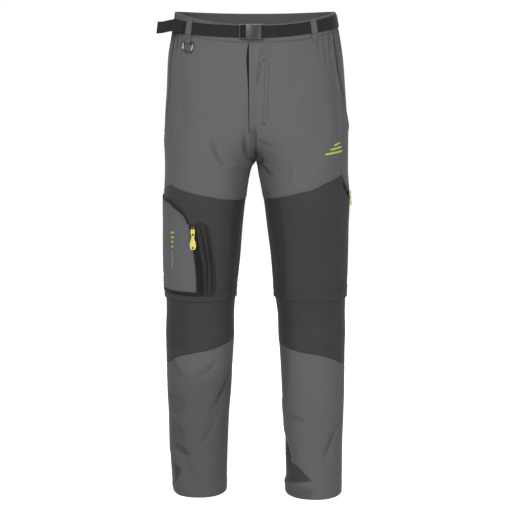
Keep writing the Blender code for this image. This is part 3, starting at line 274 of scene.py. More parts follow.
HOLLOWS = (
    # Painted shade at the crotch and on the inner thighs, with a shallow hollow
    Hollow(RIGHT, ((-0.04, -276, 6), (0.012, -277, 3), (0.022, -304, 4), (-0.04, -308, 8)), 0.0, 0.85),
    Hollow(LEFT, ((-0.04, -282, 6), (0.010, -284, 3), (0.020, -304, 4), (-0.04, -308, 8)), 0.0, 0.8),
    Hollow(RIGHT, ((-0.06, -298, 8), (0.054, -299, 3), (0.034, -362, 6), (-0.06, -366, 9)), 0.0, 0.95),
    Hollow(LEFT, ((-0.04, -340, 6), (0.024, -348, 4), (0.114, -378, 4), (-0.04, -386, 8)), -0.6, 0.35),
    # Cloth painted darker along the left thigh's zip
    Hollow(LEFT, ((0.397, -331, 1.5), (0.423, -354, 1.5), (0.430, -371, 3), (0.404, -352, 2)), -0.4, 1.0),
    Hollow(LEFT, ((0.420, -352, 1.5), (0.470, -366, 2), (0.470, -386, 3), (0.426, -370, 2)), -0.4, 1.0),
    # Painted shade, with shallow hollows, on the inner sides of the dark panels
    Hollow(RIGHT, ((-0.06, -392, 5), (0.145, -386, 7), (0.128, -490, 7), (0.120, -590, 7), (-0.06, -594, 12)),
           -1.2, 0.22),
    Hollow(LEFT, ((-0.06, -390, 5), (0.180, -384, 6), (0.155, -489, 6), (0.156, -594, 7), (-0.06, -596, 12)),
           -1.4, 0.30),
    Hollow(LEFT, ((-0.06, -604, 5), (0.156, -604, 6), (0.150, -694, 6), (-0.06, -700, 12)), -1.2, 0.26),
    Hollow(RIGHT, ((0.50, -604, 8), (0.292, -604, 8), (0.300, -700, 8), (0.50, -704, 12)), -0.8, 0.20),
    # Painted shade on the right shin, and hollows with painted shade in the folds at its hem
    # Painted shade over the whole right shin
    Hollow(RIGHT, ((-0.06, -745, 30), (0.52, -770, 30), (0.52, -1060, 20), (-0.06, -1060, 20)), 0.0, 0.32),
    Hollow(RIGHT, ((0.46, -799, 9), (0.416, -803, 3), (0.314, -817, 3), (0.309, -831, 8), (0.334, -850, 9),
                   (0.46, -856, 12)), -1.8, 0.46),
    Hollow(RIGHT, ((0.46, -851, 9), (0.388, -859, 3), (0.318, -882, 3), (0.318, -902, 8), (0.34, -918, 9),
                   (0.46, -922, 12)), -1.8, 0.46),
    Hollow(RIGHT, ((0.40, -912, 7), (0.346, -914, 4), (0.272, -936, 2), (0.335, -938, 6), (0.40, -926, 9)),
           -2.4, 0.70),
    Hollow(RIGHT, ((0.50, -944, 6), (0.436, -948, 3), (0.348, -968, 2), (0.346, -978, 2.5), (0.392, -1006, 5),
                   (0.50, -1014, 9)), -3.4, 0.85),
    Hollow(RIGHT, ((0.46, -722, 9), (0.37, -728, 5), (0.312, -764, 5), (0.36, -776, 9), (0.46, -780, 12)),
           -1.2, 0.30),
    # Hollows with painted shade in the folds of the left shin and hem
    Hollow(LEFT, ((-0.07, -872, 5), (0.022, -876, 2.5), (0.070, -926, 2.5), (0.136, -955, 4),
                  (0.120, -1000, 6), (-0.07, -1012, 9)), -4.2, 0.96),
    Hollow(LEFT, ((0.040, -924, 9), (0.128, -950, 2.5), (0.180, -970, 2.5), (0.300, -988, 2),
                  (0.164, -1000, 4), (0.030, -1011, 9)), -4.2, 0.96),
    Hollow(LEFT, ((-0.07, -1011, 9), (0.050, -1011, 6), (0.250, -989, 5), (0.232, -1040, 9),
                  (-0.07, -1042, 9)), -1.0, 0.42),
    Hollow(LEFT, ((-0.07, -696, 5), (0.132, -700, 11), (0.122, -756, 9), (0.086, -824, 9), (-0.07, -834, 12)),
           -1.6, 0.33),
    # Hollows with painted shade at the backs of the knees and calves
    Hollow(RIGHT, ((0.92, -640, 11), (0.74, -652, 10), (0.60, -676, 12), (0.76, -688, 14), (0.92, -676, 16)),
           -2.6, 0.24),
    Hollow(LEFT, ((0.92, -644, 11), (0.74, -655, 10), (0.60, -680, 12), (0.76, -692, 14), (0.92, -680, 16)),
           -2.6, 0.24),
    Hollow(RIGHT, ((0.98, -930, 14), (0.84, -948, 10), (0.72, -985, 11), (0.84, -1004, 14),
                   (0.98, -1000, 16)), -3.0, 0.32),
    Hollow(LEFT, ((0.98, -936, 14), (0.84, -952, 10), (0.72, -988, 11), (0.84, -1008, 14),
                  (0.98, -1004, 16)), -3.0, 0.32),
)

# Elastic gathers at each hip: broad waves as in the solids, and finer ones over them
GATHER_START = 0.31
GATHER_END = 0.62
GATHER_WAVES = 9
GATHER_DEPTH = 2.4
FINE_GATHER_SPAN = (0.29, 0.64)
FINE_GATHER_WAVES = 23
FINE_GATHER_DEPTH = 1.7
GATHER_STRENGTH = ((-90, 0.0), (-58, 0.65), (-38, 1.0), (-12, 0.5), (0, 0.35))

# Edges of the dark panels: across, right, left
THIGH_TOP = (
    (0.00, -388, -386),
    (0.11, -386, -383),
    (0.19, -380, -373),
    (0.27, -370, -360),
    (0.32, -364, -347),
    (0.40, -354, -333),
    (0.42, -358, -355),
    (0.45, -362, -366),
    (0.50, -366, -374),
)
KNEE_FOOT = (
    (0.00, -688, -701),
    (0.11, -694, -703),
    (0.19, -702, -708),
    (0.27, -710, -714),
    (0.35, -720, -726),
    (0.42, -736, -741),
    (0.50, -748, -750),
)

# Pocket mouths: height, right, left
POCKET_MOUTH = (
    (-38, 0.375, 0.345),
    (-117, 0.384, 0.347),
    (-160, 0.389, 0.385),
    (-211, 0.402, 0.450),
    (-238, 0.425, 0.484),
    (-252, 0.500, 0.500),
)
MOUTH_FOOT = -252.0
MOUTH_GAPE = 1.6

# Fly: height, lap edge, J-shaped stitch line, and the left edge of the dark gap beside the lap
FLY = (
    (-38, -14, 30, -15.0),
    (-60, -14, 30, -18.4),
    (-85, -14, 30, -19.2),
    (-125, -14, 29.5, -17.2),
    (-160, -14, 27.5, -16.0),
    (-198, -14, 22, -15.4),
    (-222, -14, 15, -15.0),
    (-236, -13.5, 6, -14.6),
    (-244, -13, -5, -14.4),
)
FLY_FOOT = -244.0

# Belt
WEBBING = 1.5
BELT_HEIGHT = 25.0
BELT_LIFT = 0.6
BELT_TOP_FRONT = -2.0
BELT_TOP_BACK = -8.0
BELT_TOP_SIDE = {RIGHT: -15.0, LEFT: -6.0}
BELT_LAYER = 1.8
STRAP_CENTRE = BELT_LIFT + WEBBING / 2
TAIL_CENTRE = STRAP_CENTRE + BELT_LAYER
SOCKET_BAR = (13.6, 4.0)
PLUG_BAR = (-25.0, 5.35)
WRAP_RADIUS = 2.45
BUCKLE_MIDDLE = -15.0

# Free tail of the belt: x, y, top, drop
TAIL = (
    (-162, -79, -13.0, 24.5),
    (-177, -69, -15.6, 23.5),
    (-191, -57, -18.8, 23.5),
    (-201, -46, -19.4, 24.5),
)
TAIL_SLANT = 5.0

# Cargo pocket: height, front edge of the panel, front edge of the gusset
CARGO_ROWS = (
    (-427, 0.303, 0.240),
    (-456, 0.292, 0.224),
    (-504, 0.277, 0.207),
    (-540, 0.268, 0.195),
    (-581, 0.262, 0.188),
    (-590, 0.261, 0.190),
)
CARGO_TOP = ((0.303, -432), (0.318, -415), (0.365, -400), (0.401, -392), (0.500, -391), (0.600, -394))
CARGO_BAND = 8.5
CARGO_BACK = 0.600
CARGO_FOOT = -577.0
GUSSET_TOP = -427.0
GUSSET_FOOT = -587.0
CARGO_ZIP_CENTRE = 0.0165
CARGO_SLIDER_HEIGHT = -439.0
ZIP_WALL = 0.8

THIGH_ZIP = ((0.405, -349.0), (0.425, -366.0), (0.452, -376.0), (0.492, -384.0))
THIGH_ZIP_WIDTH = 9.0
THIGH_SLIDER = (0.442, -373.0)

# Outlines of a slider and its bridge: x, y
SLIDER_OUTLINE = ((-4.0, 5.5), (-3.2, -1.0), (-2.6, -5.5), (2.6, -5.5), (3.2, -1.0), (4.0, 5.5))
BRIDGE_OUTLINE = ((-4.0, 0.6), (-3.7, 4.2), (-2.6, 5.0), (2.6, 5.0), (3.7, 4.2), (4.0, 0.6),
                  (2.7, 0.6), (2.6, 3.9), (-2.6, 3.9), (-2.7, 0.6))
SLIDER_LIFT = OVERLAY + ZIP_WALL + 0.35
HINGE_DOWN = 1.7
HINGE_LIFT = 3.15

# Outline of a pull: distance below its hinge, half width
PULL_PROFILE = (
    (-0.7, 3.4),
    (2.0, 5.0),
    (9.0, 5.0),
    (12.0, 3.9),
    (18.0, 3.5),
    (25.0, 5.4),
    (30.0, 7.2),
    (35.0, 7.5),
    (40.0, 6.4),
    (43.0, 4.0),
)
PULL_THICK = 1.2
PULL_HOLE_HALF = 1.9
PULL_RIBS = (18.5, 21.0, 23.5, 26.0, 28.5, 31.0)

# Ring on its tab
RING_ACROSS = 0.268
RING_BAR_HEIGHT = -52.0
RING_LIFT = 3.2
RING_WIRE = 1.3
RING_HALF = 12.2
RING_DROP = 19.5
RING_SHOULDER = 7.0
RING_SQUARENESS = 3.0
RING_CORNER = 2.5
TAB_WIDTH = 11.0
TAB_WALL = 1.2

# Wall of a belt loop, how far it stands off the waistband, and its play round the belt
LOOP_WALL = 1.2
LOOP_BASE = 0.4
LOOP_CLEAR = 0.5


@dataclass(frozen=True)
class Loop:
    """One belt loop: its node, place, width, how far its web bridges out, and the height of its foot."""

    name: str
    side: float
    across: float
    width: float
    over: float
    foot: float


LOOPS = (
    Loop("belt_loop_front_right", RIGHT, 0.275, 17, 4.2, -45),
    Loop("belt_loop_front_left", LEFT, 0.232, 16, 2.4, -46),
    Loop("belt_loop_back_right", RIGHT, 0.760, 15, 2.4, -45),
    Loop("belt_loop_back_centre", LEFT, 1.000, 15, 2.4, -45),
    Loop("belt_loop_back_left", LEFT, 0.760, 15, 2.4, -45),
)


# Curves through the tables


class SmoothCurve:
    """A curve through a table, without overshoot."""

    def __init__(self, xs: Sequence[float], ys: Sequence[float]) -> None:
        """Fit the curve.

        Args:
            xs: Where the values are given, in any order.
            ys: The values.
        """
        order = np.argsort(xs)
        self.xs = np.array(xs, float)[order]
        self.ys = np.array(ys, float)[order]
        slopes = np.diff(self.ys) / np.diff(self.xs)
        before, after = slopes[:-1], slopes[1:]
        agree = before * after > 0
        total = np.where(agree, before + after, 1.0)
        middle = np.where(agree, 2 * before * after / total, 0.0)
        self.tangents = np.concatenate(([slopes[0]], middle, [slopes[-1]]))

    def __call__(self, x: np.ndarray | float) -> np.ndarray:
        """Return the curve's values at x."""
        x = np.clip(x, self.xs[0], self.xs[-1])
        i = np.clip(np.searchsorted(self.xs, x, side="right") - 1, 0, len(self.xs) - 2)
        step = self.xs[i + 1] - self.xs[i]
        t = (x - self.xs[i]) / step
        start = (1 + 2 * t) * (1 - t) ** 2 * self.ys[i] + t * (1 - t) ** 2 * step * self.tangents[i]
        end = t * t * (3 - 2 * t) * self.ys[i + 1] + t * t * (t - 1) * step * self.tangents[i + 1]
        return start + end


def table_curve(table: Sequence[Sequence[float]], column: int) -> SmoothCurve:
    """Return a smooth curve through one column of a table, by its first column."""
    return SmoothCurve([row[0] for row in table], [row[column] for row in table])


def table_line(table: Sequence[Sequence[float]], column: int) -> Callable[[np.ndarray], np.ndarray]:
    """Return straight lines between the values of one column of a table, by its first column."""
    order = np.argsort([row[0] for row in table])
    xs = np.array([row[0] for row in table], float)[order]
    ys = np.array([row[column] for row in table], float)[order]
    return lambda x: np.interp(x, xs, ys)


def ease(t: np.ndarray | float) -> np.ndarray:
    """Return t eased from 0 to 1."""
    t = np.clip(t, 0.0, 1.0)
    return t * t * (3.0 - 2.0 * t)


def mix(a: np.ndarray | float, b: np.ndarray | float, t: np.ndarray | float) -> np.ndarray:
    """Return the value a share t of the way from a to b."""
    return a + (b - a) * t


SECTION = {name: table_curve(SECTIONS, i) for i, name in enumerate(SECTION_NAMES) if i}
STRENGTH = table_line(GATHER_STRENGTH, 1)
THIGH_EDGE = {RIGHT: table_line(THIGH_TOP, 1), LEFT: table_line(THIGH_TOP, 2)}
KNEE_EDGE = {RIGHT: table_curve(KNEE_FOOT, 1), LEFT: table_curve(KNEE_FOOT, 2)}
MOUTH = {RIGHT: table_line(POCKET_MOUTH, 1), LEFT: table_line(POCKET_MOUTH, 2)}
FLY_LAP = table_curve(FLY, 1)
FLY_STITCH = table_curve(FLY, 2)
FLY_GAP = table_curve(FLY, 3)
CARGO_EDGE = table_curve(CARGO_ROWS, 1)
CARGO_GUSSET = table_curve(CARGO_ROWS, 2)
CARGO_PANEL_TOP = table_curve(CARGO_TOP, 1)
PULL_WIDTH = table_curve(PULL_PROFILE, 1)


# The garment's form


class Form:
    """The surface that every cloth piece is cut from. Arguments may be arrays of one shape."""

    def leg(self, side: np.ndarray, height: np.ndarray) -> tuple[np.ndarray, np.ndarray, np.ndarray]:
        """Return the centre and half width of the section, and how far the two sections have joined."""
        outer = np.where(side < 0, SECTION["outer_right"](height), SECTION["outer_left"](height))
        gap = np.where(side < 0, SECTION["gap_right"](height), SECTION["gap_left"](height))
        join = SECTION["join"](height)
        above = height > CROTCH
        half = np.where(above, outer / (1.0 + join), (outer - gap) / 2)
        centre = np.where(above, half * join, (outer + gap) / 2)
        return centre, half, np.where(above, join, 1.0)

    def open_angle(self, join: np.ndarray) -> np.ndarray:
        """Return the angle from the side seam to the centre plane, or to the inseam of a leg."""
        bent = np.arccos(-np.clip(join, 0.0, 1.0) ** (SQUARENESS / 2))
        return np.where(join >= 1.0, math.pi, bent)

    def bare(self, side: np.ndarray, angle: np.ndarray, height: np.ndarray) -> np.ndarray:
        """Return the points of the form, without folds."""
        centre, half, _ = self.leg(side, height)
        side_y = SECTION["side_y"](height)
        sine, cosine = np.sin(angle), np.cos(angle)
        power = 2.0 / SQUARENESS
        x = side * (centre + half * np.sign(cosine) * np.abs(cosine) ** power)
        reach = np.where(sine > 0, SECTION["front"](height) + side_y, SECTION["back"](height) - side_y)
        y = side_y - np.sign(sine) * reach * np.abs(sine) ** power
        dip = np.where(sine > 0, FRONT_DIP, BACK_DIP) * sine * sine
        return np.stack([x, y, height - dip * (1.0 - ease(-height / DIP_FADE))], axis=-1)

    def angle(self, side: np.ndarray, across: np.ndarray, height: np.ndarray) -> np.ndarray:
        """Return the angle round the section of an across value."""
        return self.open_angle(self.leg(side, height)[2]) * (1.0 - 2.0 * across)

    def across_at(self, x: np.ndarray, height: np.ndarray) -> tuple[np.ndarray, np.ndarray]:
        """Return the side and across of the front points at x."""
        x = np.asarray(x, float)
        side = np.where(x >= 0, LEFT, RIGHT)
        centre, half, join = self.leg(side, height)
        value = np.clip((np.abs(x) - centre) / half, -1.0, 1.0)
        cosine = np.sign(value) * np.abs(value) ** (SQUARENESS / 2)
        return side, np.maximum(0.0, 0.5 * (1.0 - np.arccos(cosine) / self.open_angle(join)))

    def normal(self, side: np.ndarray, angle: np.ndarray, height: np.ndarray) -> np.ndarray:
        """Return the outward directions of the form."""
        turn, rise = 0.004, 0.5
        along = self.bare(side, angle + turn, height) - self.bare(side, angle - turn, height)
        up = self.bare(side, angle, height + rise) - self.bare(side, angle, height - rise)
        normal = np.cross(along, up)
        normal /= np.linalg.norm(normal, axis=-1, keepdims=True)
        here = self.bare(side, angle, height)
        centre = self.leg(side, height)[0]
        facing = normal[..., 0] * (here[..., 0] - side * centre)
        facing = facing + normal[..., 1] * (here[..., 1] - SECTION["side_y"](height))
        return normal * np.where(facing > 0, 1.0, -1.0)[..., None]

    def girth(self, side: np.ndarray, height: np.ndarray) -> np.ndarray:
        """Return the length of cloth from across 0 to across 1."""
        _, half, join = self.leg(side, height)
        radius = (half + (SECTION["front"](height) + SECTION["back"](height)) / 2) / 2
        return 2.0 * self.open_angle(join) * radius

    def away(self, across: np.ndarray, start: float, join: np.ndarray, girth: np.ndarray) -> np.ndarray:
        """Return the distance round the section from start, the short way round on a leg."""
        away = across - start
        return np.where(join >= 1.0, (away + 0.5) % 1.0 - 0.5, away) * girth

    def fold_depth(self, side: np.ndarray, across: np.ndarray, height: np.ndarray) -> np.ndarray:
        """Return how far the large folds move the cloth out."""
        girth = self.girth(side, height)
        join = self.leg(side, height)[2]
        depth = np.zeros(np.shape(girth))
        for fold in FOLDS:
            away = self.away(across, fold.across, join, girth)
            rise = height - fold.height
            lean = math.radians(fold.angle)
            along = rise * math.cos(lean) + away * math.sin(lean)
            aside = away * math.cos(lean) - rise * math.sin(lean)
            hump = np.exp(-(along / fold.length) ** 2 - (aside / fold.width) ** 2)
            depth = depth + np.where(side == fold.side, fold.depth * hump, 0.0)
        return depth

    def crease_depth(self, side: np.ndarray, across: np.ndarray, height: np.ndarray) -> np.ndarray:
        """Return how far the creases move the cloth out."""
        girth = self.girth(side, height)
        join = self.leg(side, height)[2]
        depth = np.zeros(np.shape(girth))
        for crease in CREASES:
            start, end = crease.start, crease.end
            run = (end[0] - start[0]) * self.girth(np.array(crease.side), np.array(start[1]))
            drop = end[1] - start[1]
            length = math.hypot(run, drop)
            away = self.away(across, (start[0] + end[0]) / 2, join, girth)
            rise = height - (start[1] + end[1]) / 2
            along = (away * run + rise * drop) / length / (length / 2)
            fade = np.clip(1.0 - along * along, 0.0, 1.0)
            aside = ((away * drop - rise * run) / length - crease.bow * fade) / crease.width
            hump = np.exp(-aside * aside)
            step = STEP_SCALE * aside * hump
            shape = (1.0 - crease.step) * hump + crease.step * step
            depth = depth + np.where(side == crease.side, crease.depth * fade ** CREASE_FADE * shape, 0.0)
        return depth

    def hollow_share(self, hollow: Hollow, side: np.ndarray, across: np.ndarray,
                     height: np.ndarray) -> np.ndarray:
        """Return how far inside a hollow each point lies, from 0 to 1."""
        girth = self.girth(side, height)
        join = self.leg(side, height)[2]
        corners = np.array(hollow.corners)
        middle_across, middle_height = corners[:, 0].mean(), corners[:, 1].mean()
        scale = float(self.girth(np.array(hollow.side), np.array(middle_height)))
        flat = np.stack([(corners[:, 0] - middle_across) * scale, corners[:, 1] - middle_height], axis=1)
        ahead = np.roll(flat, -1, axis=0)
        turn = np.sign(np.sum(flat[:, 0] * ahead[:, 1] - flat[:, 1] * ahead[:, 0]))
        away = self.away(across, middle_across, join, girth)
        rise = height - middle_height
        share = np.where(side == hollow.side, 1.0, 0.0)
        for start, end, soft in zip(flat, ahead, corners[:, 2]):
            run = (end - start) / np.linalg.norm(end - start)
            inside = turn * (run[0] * (rise - start[1]) - run[1] * (away - start[0]))
            share = share * ease(0.5 + inside / (2.0 * soft))
        return share

    def hollows(self, side: np.ndarray, across: np.ndarray,
                height: np.ndarray) -> tuple[np.ndarray, np.ndarray]:
        """Return how far the hollows move the cloth out, and how much painted shade darkens them."""
        depth = np.zeros(np.shape(height))
        tone = np.zeros(np.shape(height))
        for hollow in HOLLOWS:
            share = self.hollow_share(hollow, side, across, height)
            depth = np.minimum(depth, hollow.depth * share)
            tone = np.maximum(tone, hollow.tone * share)
        return depth, tone

    def gather_depth(self, across: np.ndarray, height: np.ndarray) -> np.ndarray:
        """Return how far the elastic gathers move the cloth out."""
        share = (across - GATHER_START) / (GATHER_END - GATHER_START)
        wave = share * GATHER_WAVES
        uneven = 0.8 + 0.2 * np.sin(2.3 * np.floor(wave) + 0.7)
        broad = -GATHER_DEPTH * uneven * 0.5 * (1.0 - np.cos(2.0 * math.pi * wave))
        broad = np.where((share > 0) & (share < 1), broad, 0.0)
        start, end = FINE_GATHER_SPAN
        fine_share = (across - start) / (end - start)
        fade = ease(fine_share / 0.12) * ease((1.0 - fine_share) / 0.12)
        phase = 2.0 * math.pi * fine_share * FINE_GATHER_WAVES + 1.3 * np.sin(17.0 * across + 0.03 * height)
        return (broad + FINE_GATHER_DEPTH * fade * (np.sin(phase) - 0.4)) * STRENGTH(height)

    def place(self, side: np.ndarray, across: np.ndarray, height: np.ndarray,
              off: np.ndarray | float = 0.0, folded: bool = True) -> np.ndarray:
        """Return points of the garment, moved out of its form by off.

        Args:
            side: Which half each point is on.
            across: How far round its half each point is.
            height: Height of each point before the waist's dip.
            off: Distance out of the form.
            folded: Whether folds, creases and gathers move the points too.

        Returns:
            The points in millimetres.
        """
        side, across, height = np.broadcast_arrays(np.asarray(side, float), across, height)
        height = np.asarray(height, float)
        if folded:
            off = off + self.fold_depth(side, across, height) + self.crease_depth(side, across, height)
            off = off + self.gather_depth(across, height) + self.hollows(side, across, height)[0]
        angle = self.angle(side, across, height)
        off = np.broadcast_to(off, np.shape(angle))
        return self.bare(side, angle, height) + self.normal(side, angle, height) * off[..., None]

    def front_place(self, x: np.ndarray, height: np.ndarray, off: np.ndarray | float) -> np.ndarray:
        """Return unfolded front points at x."""
        side, across = self.across_at(x, height)
        return self.place(side, across, height, off, folded=False)

    def axes(self, side: float, across: float, height: float, off: float) -> tuple[np.ndarray, ...]:
        """Return the origin and axes at a point: along the cloth, up the cloth, and outwards."""
        side_at, high = np.array(side), np.array(float(height))
        angle = self.angle(side_at, np.array(across), high)
        out = self.normal(side_at, angle, high)
        along = self.bare(side_at, angle, high) - self.bare(side_at, angle + 0.01, high)
        along = along * side / np.linalg.norm(along)
        return self.place(side_at, across, high, off, folded=False), along, np.cross(out, along), out


FORM = Form()


# Shader trees


class Term:
    """A shader socket that takes part in arithmetic."""

    def __init__(self, tree: ShaderTree, socket: bpy.types.NodeSocket) -> None:
        """Wrap an output socket of a tree."""
        self.tree = tree
        self.socket = socket

    def _math(self, operation: str, *values: Term | float) -> Term:
        """Return the result of one Math node."""
        return self.tree.node("ShaderNodeMath", {"operation": operation}, dict(enumerate(values)))

    def __add__(self, other: Term | float) -> Term:
        """Return self + other."""
        return self._math("ADD", self, other)

    __radd__ = __add__

    def __sub__(self, other: Term | float) -> Term:
        """Return self - other."""
        return self._math("SUBTRACT", self, other)

    def __rsub__(self, other: Term | float) -> Term:
        """Return other - self."""
        return self._math("SUBTRACT", other, self)

    def __mul__(self, other: Term | float) -> Term:
        """Return self * other."""
        return self._math("MULTIPLY", self, other)

    __rmul__ = __mul__

    def __pow__(self, other: float) -> Term:
        """Return self to a power."""
        return self._math("POWER", self, other)

    def sine(self) -> Term:
        """Return the sine."""
        return self._math("SINE", self)

    def absolute(self) -> Term:
        """Return the absolute value."""
        return self._math("ABSOLUTE", self)


class ShaderTree:
    """A material's node tree around one Principled shader."""

    def __init__(self, name: str) -> None:
        """Make an empty material of this name."""
        self.material = bpy.data.materials.new(name)
        self.material.use_nodes = True
        self.nodes = self.material.node_tree.nodes
        self.links = self.material.node_tree.links
        self.shader = self.nodes["Principled BSDF"]

    def node(self, kind: str, settings: dict[str, object] | None = None,
             inputs: dict[str | int, object] | None = None, output: str | int = 0) -> Term:
        """Add a node.

        Args:
            kind: The node's type.
            settings: Its properties, set first. "stops" holds a ramp's positions and values.
            inputs: Values or terms of its sockets, by name or number.
            output: Which output to return.

        Returns:
            The output as a term.
        """
        made = self.nodes.new(kind)
        for name, value in (settings or {}).items():
            if name == "stops":
                self._set_stops(made, value)
            else:
                setattr(made, name, value)
        for key, value in (inputs or {}).items():
            socket = made.inputs[key]
            if isinstance(value, Term):
                self.links.new(value.socket, socket)
            else:
                socket.default_value = value
        return Term(self, made.outputs[output])

    def _set_stops(self, ramp: bpy.types.Node, stops: Sequence[tuple[float, float]]) -> None:
        """Set a colour ramp's grey stops."""
        elements = ramp.color_ramp.elements
        while len(elements) < len(stops):
            elements.new(1.0)
        for element, (position, value) in zip(elements, stops):
            element.position = position
            element.color = (value, value, value, 1.0)

    def coordinates(self, which: str) -> Term:
        """Return Object or UV coordinates."""
        return self.node("ShaderNodeTexCoord", output=which)

    def parts(self, vector: Term) -> tuple[Term, Term, Term]:
        """Return the three numbers of a vector."""
        split = self.node("ShaderNodeSeparateXYZ", inputs={0: vector})
        outputs = split.socket.node.outputs
        return Term(self, outputs[0]), Term(self, outputs[1]), Term(self, outputs[2])

    def noise(self, vector: Term, scale: float, detail: float = 2.0, rough: float = 0.5) -> Term:
        """Return smooth noise from 0 to 1 at so many features a metre."""
        sockets = {"Vector": vector, "Scale": scale, "Detail": detail, "Roughness": rough}
        return self.node("ShaderNodeTexNoise", inputs=sockets)

    def span(self, value: Term, low: float, high: float) -> Term:
        """Return a value of 0 to 1 spread between low and high."""
        sockets = {"Value": value, "To Min": low, "To Max": high}
        return self.node("ShaderNodeMapRange", inputs=sockets)

    def tint(self, amount: Term, low: Sequence[float], high: Sequence[float]) -> Term:
        """Return a colour between two colours."""
        sockets = {0: amount, 6: (*low, 1.0), 7: (*high, 1.0)}
        return self.node("ShaderNodeMix", {"data_type": "RGBA"}, sockets, output=2)

    def blend(self, amount: Term, base: Term, colour: Sequence[float]) -> Term:
        """Return a changing colour blended with a constant one."""
        sockets = {0: amount, 6: base, 7: (*colour, 1.0)}
        return self.node("ShaderNodeMix", {"data_type": "RGBA"}, sockets, output=2)

    def attribute(self, name: str) -> Term:
        """Return a number that the mesh carries."""
        return self.node("ShaderNodeAttribute", {"attribute_name": name}, output=2)

    def bump(self, height: Term, distance: float, under: Term | None = None) -> Term:
        """Return a normal bumped by a height of 0 to 1 over a distance in metres."""
        sockets: dict[str | int, object] = {"Height": height, "Distance": distance, "Strength": 1.0}
        if under is not None:
            sockets["Normal"] = under
        return self.node("ShaderNodeBump", inputs=sockets)

    def finish(self, constants: dict[str, object], links: dict[str, Term]) -> bpy.types.Material:
        """Set the shader's sockets.

        Args:
            constants: Values that are the same all over.
            links: Terms that change over the surface.

        Returns:
            The material.
        """
        for name, value in constants.items():
            self.shader.inputs[name].default_value = value
        for name, term in links.items():
            self.links.new(term.socket, self.shader.inputs[name])
        return self.material


def shade(colour: Sequence[float], share: float) -> tuple[float, float, float]:
    """Return a colour made lighter or darker by a share."""
    return tuple(min(1.0, value * share) for value in colour)


@dataclass(frozen=True)
class WovenCloth:
    """Plain woven nylon: fine yarns, a soft crinkle, uneven tone, and painted shade from the mesh's shade
    attribute.
    """

    name: str
    colour: tuple[float, float, float]
    crinkle: float = 0.0011
    yarn: float = 0.0011
    sheen: float = 0.04
    # How far the painted shade darkens the cloth at its strongest
    painted_shade_strength: float = 0.62

    def build(self) -> bpy.types.Material:
        """Return the material."""
        tree = ShaderTree(self.name)
        place = tree.coordinates("Object")
        across, down, _ = tree.parts(tree.coordinates("UV"))
        turns = 2.0 * math.pi / self.yarn
        weave = (across * turns).sine() * (down * turns).sine() * 0.5 + 0.5
        broad = tree.noise(place, 9.0, 2.0)
        soft = tree.noise(place, 42.0, 3.0, 0.55)
        grain = tree.noise(place, 900.0, 2.0, 0.6)
        crumple = tree.noise(place, 105.0, 2.0, 0.5)
        ridges = (crumple - 0.5).absolute() * 2.0
        tone = broad * 0.4 + soft * 0.35 + grain * 0.15 + weave * 0.1
        # Painted shade in creases, folds, hollows and grooves, carried by the mesh's shade attribute
        painted_shade = tree.attribute("shade")
        colour = tree.tint(tone, shade(self.colour, 0.88), shade(self.colour, 1.15))
        colour = tree.blend(painted_shade, colour, shade(self.colour, 1.0 - self.painted_shade_strength))
        rolled = tree.bump(soft * 0.7 + ridges * 0.3, self.crinkle)
        woven = tree.bump(weave * 0.6 + grain * 0.4, 0.00006, rolled)
        constants = {"Sheen Weight": self.sheen, "Sheen Roughness": 0.45, "Specular IOR Level": 0.12}
        links = {"Base Color": colour, "Roughness": tree.span(soft, 0.66, 0.84), "Normal": woven}
        return tree.finish(constants, links)


@dataclass(frozen=True)
class Webbing:
    """Narrow belt webbing: cross ribs, a herringbone lean and firm selvedges. UVs are metres."""

    name: str
    colour: tuple[float, float, float]
    rib: float = 0.0017
    width: float = BELT_HEIGHT * MM

    def build(self) -> bpy.types.Material:
        """Return the material."""
        tree = ShaderTree(self.name)
        along, across, _ = tree.parts(tree.coordinates("UV"))
        place = tree.coordinates("Object")
        turns = 2.0 * math.pi / self.rib
        lean = (across * (2.0 * math.pi / (self.width / 4.0))).sine() * 0.5
        ribs = (along * turns + lean * 3.0).sine() * 0.5 + 0.5
        yarns = (across * (2.0 * math.pi / 0.0009)).sine() * 0.5 + 0.5
        edge = (across * (2.0 / self.width) - 1.0).absolute() ** 14.0
        fuzz = tree.noise(place, 1500.0, 2.0)
        wear = tree.noise(place, 60.0, 3.0)
        height = ribs * 0.55 + yarns * 0.2 + edge * 0.25
        tone = height * 0.5 + fuzz * 0.2 + wear * 0.3
        colour = tree.tint(tone, shade(self.colour, 0.7), shade(self.colour, 1.5))
        links = {"Base Color": colour, "Roughness": tree.span(wear, 0.62, 0.8),
                 "Normal": tree.bump(height + fuzz * 0.1, 0.00022)}
        return tree.finish({"Sheen Weight": 0.02, "Specular IOR Level": 0.12}, links)


@dataclass(frozen=True)
class Moulded:
    """Moulded plastic or rubber, with a fine grain and faint handling wear."""

    name: str
    colour: tuple[float, float, float]
    roughness: tuple[float, float] = (0.28, 0.42)
    grain: float = 0.00003
    sheen: float = 0.0

    def build(self) -> bpy.types.Material:
        """Return the material."""
        tree = ShaderTree(self.name)
        place = tree.coordinates("Object")
        wear = tree.noise(place, 140.0, 3.0)
        grain = tree.noise(place, 2600.0, 2.0)
        colour = tree.tint(wear * 0.7 + grain * 0.3, shade(self.colour, 0.86), shade(self.colour, 1.12))
        links = {"Base Color": colour, "Roughness": tree.span(wear, *self.roughness),
                 "Normal": tree.bump(grain, self.grain)}
        return tree.finish({"Sheen Weight": self.sheen, "IOR": 1.48}, links)


